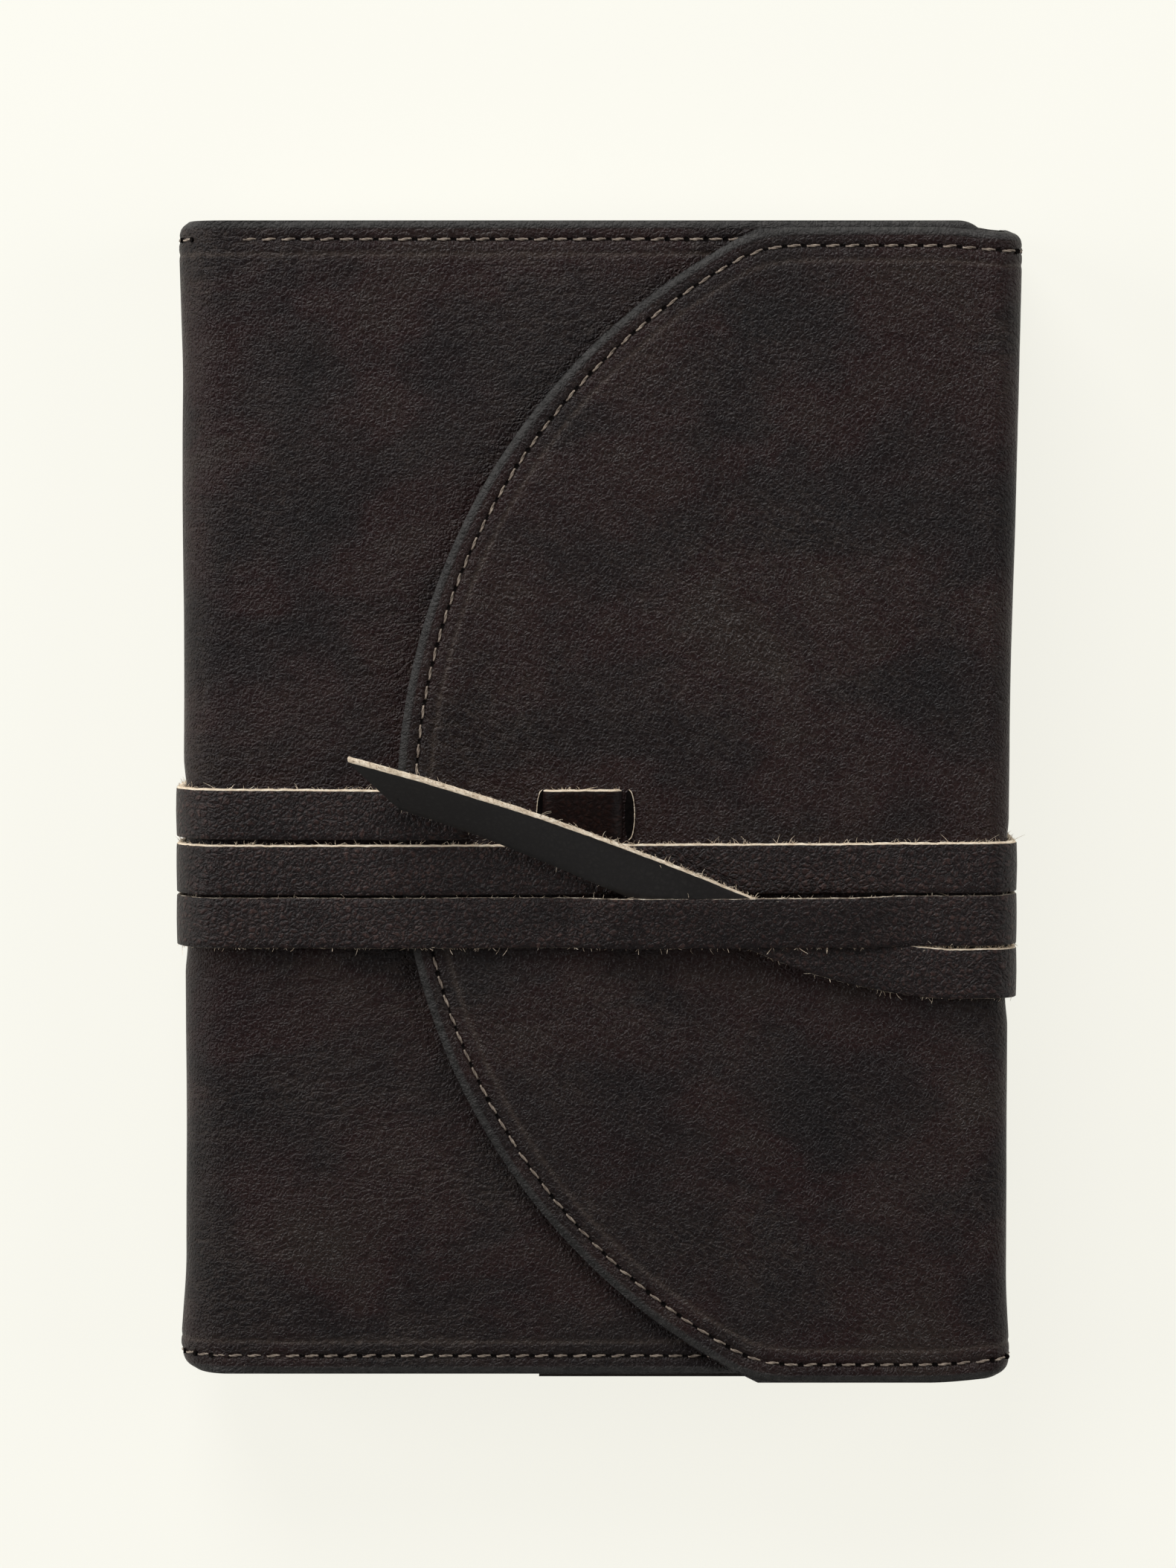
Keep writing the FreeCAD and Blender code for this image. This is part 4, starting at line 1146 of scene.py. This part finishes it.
def slit_shapes(x, outwards):
    """Return the points, faces and kind of a slit's thin pale lip, bowed outwards, and of the block of
    painted shade that stands for its inside.
    """
    half = STRAP_WIDTH / 2 - 0.2
    level = FLAP_Z - 0.12
    t = np.linspace(-1, 1, 25)
    bow = 1.1 * np.sqrt(np.clip(1 - t ** 2, 0, 1))
    line = np.stack([x + outwards * (bow - 0.7), LEFT_Y[0] + half * t, level + 0 * t], -1)
    along = np.gradient(line, axis=0)
    along /= np.linalg.norm(along, axis=1, keepdims=True)
    up = np.repeat([[0.0, 0.0, 1.0]], len(t), 0)
    radius = 0.06 + 0.07 * lattice_noise(t * 20, t, 1, 1, 40 + outwards)
    lip = tube(line, np.cross(along, up), up, radius, 6)
    inner = line - np.outer(bow * 1.7, [outwards, 0, 0])
    outline = np.concatenate([line, inner[-2:0:-1]])
    low_ring, high_ring = outline - [0, 0, 0.5], outline + [0, 0, 0.06]
    count = len(outline)
    faces = [list(range(count))[::-1], list(range(count, 2 * count))]
    faces += [[k, (k + 1) % count, (k + 1) % count + count, k + count] for k in range(count)]
    return [(*lip, 0), (np.concatenate([low_ring, high_ring]), faces, 1)]


build_strap()


# ---- the notebook and its pockets ----

SIGNATURES = 8
SHEETS_IN_SIGNATURE = 8


def folded_sheet(low_x, high_x, half, middle_z, reach, thickness):
    """Return points and faces of one folded sheet, a long U in section, running along Y."""
    turns = np.linspace(math.pi / 2, 3 * math.pi / 2, 9)
    outer = [(high_x, middle_z + reach)]
    outer += [(low_x + reach + reach * math.cos(t), middle_z + reach * math.sin(t)) for t in turns]
    outer += [(high_x, middle_z - reach)]
    small = reach - thickness
    inner = [(high_x, middle_z - small)]
    inner += [(low_x + reach + small * math.cos(t), middle_z + small * math.sin(t)) for t in turns[::-1]]
    inner += [(high_x, middle_z + small)]
    section = outer + inner
    points = [(x, y, z) for y in (-half, half) for x, z in section]
    count = len(section)
    faces = [[k, (k + 1) % count, (k + 1) % count + count, k + count] for k in range(count)]
    half_count = count // 2
    for k in range(half_count - 1):
        cap = [k, k + 1, count - 2 - k, count - 1 - k]
        faces.append(cap)
        faces.append([v + count for v in cap][::-1])
    return np.array(points), faces


def build_signatures():
    """Make each signature as nested folded sheets, whose fore-edges creep outwards."""
    shake = np.random.default_rng(21)
    for number in range(1, SIGNATURES + 1):
        node = f"signature_{number}"
        corner, other = low(node), high(node)
        middle_z = (corner[2] + other[2]) / 2
        full = (other[2] - corner[2]) / 2
        pitch = full / SHEETS_IN_SIGNATURE
        points, faces = [], []
        for layer in range(SHEETS_IN_SIGNATURE):
            reach = full - pitch * layer
            creep = 0.10 * layer + shake.uniform(-0.12, 0.12)
            half = other[1] + shake.uniform(-0.15, 0.05)
            fore_x = other[0] - 0.8 + creep
            sheet = folded_sheet(corner[0] + pitch * layer, fore_x, half, middle_z, reach, pitch * 0.80)
            add_shape(points, faces, *sheet)
        piece = make_mesh(f"pages_{number}", np.concatenate(points), faces, [PAPER], sharp=30)
        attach(piece, "back_cover" if number <= SIGNATURES / 2 else "front_leaves")
        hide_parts(node)


POCKET_CORNER = 7.5        # radius of a pocket's corners away from its mouth


def build_pocket(node, body, past_tail):
    """Make an inner pocket, its mouth towards the spine, a little longer than the cover at the tail."""
    corner, other = low(node), high(node)
    tail_y = corner[1] - past_tail
    x, y = grid(graded(tail_y, other[1], COARSE_STEP), graded(corner[0], other[0], COARSE_STEP))
    from_y = np.minimum(y - tail_y, other[1] - y)
    inset = np.clip(POCKET_CORNER - from_y, 0, POCKET_CORNER)
    shift = POCKET_CORNER - np.sqrt(POCKET_CORNER ** 2 - inset ** 2)
    x = x - shift * smooth_step(x, other[0] - 20, other[0])
    by_mouth = np.minimum(x - corner[0], from_y)
    edge = np.minimum(by_mouth, rounded_distance(other[0] - x, from_y, POCKET_CORNER)).clip(0)
    fall = edge_rounding(edge, 0.6, 0.4)
    upper = np.stack([x, y, other[2] - fall], -1)
    lower = np.stack([x, y, corner[2] + fall], -1)
    values = {"cut_edge": 1 - smooth_step(edge, 0.2, 0.6)}
    piece = closed_sheet(f"{node}_sheet", upper, lower, np.stack([x, y], -1), [LINING_LEATHER], values)
    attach(piece, body)
    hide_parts(node)


build_signatures()
build_pocket("pocket_back", "back_cover", 0.0)
build_pocket("pocket_front", "front_cover", 1.1)
for card in ("notebook_back_card", "notebook_front_card"):
    frame["nodes"][card].data.materials.clear()
    frame["nodes"][card].data.materials.append(CARD)


# ---- floor, light and camera ----

FLOOR_GLOW = 0.83


def build_floor():
    """Make the plain pale floor, a light table whose own glow takes the edge off the shadows."""
    bpy.ops.mesh.primitive_plane_add(size=30)
    floor = bpy.context.object
    floor.name = "floor"
    nodes = Nodes("pale_floor")
    tone = nodes.object_noise(1.5)
    colour = nodes.ramp(tone, [(0.3, (0.148, 0.146, 0.135)), (0.7, (0.152, 0.150, 0.139))])
    nodes.set(nodes.shader, "Emission Color", (1.0, 0.99, 0.905, 1))
    nodes.set(nodes.shader, "Emission Strength", FLOOR_GLOW)
    floor.data.materials.append(nodes.finish(colour, 0.9, None, 0.1))


def area_light(name, place, target, size, power, colour=(1, 1, 1)):
    """Add a soft square light that faces a point."""
    data = bpy.data.lights.new(name, "AREA")
    data.size = size
    data.energy = power
    data.color = colour
    lamp = bpy.data.objects.new(name, data)
    lamp.location = place
    lamp.rotation_mode = "QUATERNION"
    lamp.rotation_quaternion = (Vector(target) - Vector(place)).to_track_quat("-Z", "Y")
    bpy.context.scene.collection.objects.link(lamp)


def build_light():
    """Light the scene with soft boxes low at the sides, so that a flat dark face mirrors little of them."""
    world = bpy.data.worlds.new("studio")
    world.use_nodes = True
    world.node_tree.nodes["Background"].inputs[0].default_value = (1.0, 1.0, 0.99, 1)
    world.node_tree.nodes["Background"].inputs[1].default_value = 0.05
    bpy.context.scene.world = world
    area_light("head_box", (-0.4, 1.3, 0.6), (0, 0, 0), 0.9, 23)
    area_light("left_box", (-1.8, 0.4, 0.8), (0, 0, 0), 1.1, 24)
    area_light("right_box", (1.8, 0.3, 0.8), (0, 0, 0), 1.1, 15)
    area_light("tail_box", (0.2, -1.9, 0.85), (0, 0, 0), 1.1, 6)


CAMERA_DISTANCE = 1.0
CAMERA_TILT = math.radians(3.9)
VIEW_HEIGHT = 300.285      # the height in view at the target's distance
TARGET = (-1.9, 3.5, 27.0)


def build_camera():
    """Make the camera, which looks down on the cover from slightly towards its head."""
    data = bpy.data.cameras.new("camera")
    data.sensor_width = 36.0
    data.lens = data.sensor_width * CAMERA_DISTANCE / (VIEW_HEIGHT * MM)
    data.clip_start = 0.01
    camera = bpy.data.objects.new("camera", data)
    target = Vector(TARGET) * MM
    camera.location = target + CAMERA_DISTANCE * Vector((0, math.sin(CAMERA_TILT), math.cos(CAMERA_TILT)))
    camera.rotation_euler = (-CAMERA_TILT, 0, 0)
    bpy.context.scene.collection.objects.link(camera)
    bpy.context.scene.camera = camera


build_floor()
build_light()
build_camera()
bpy.context.scene.view_settings.view_transform = "Standard"
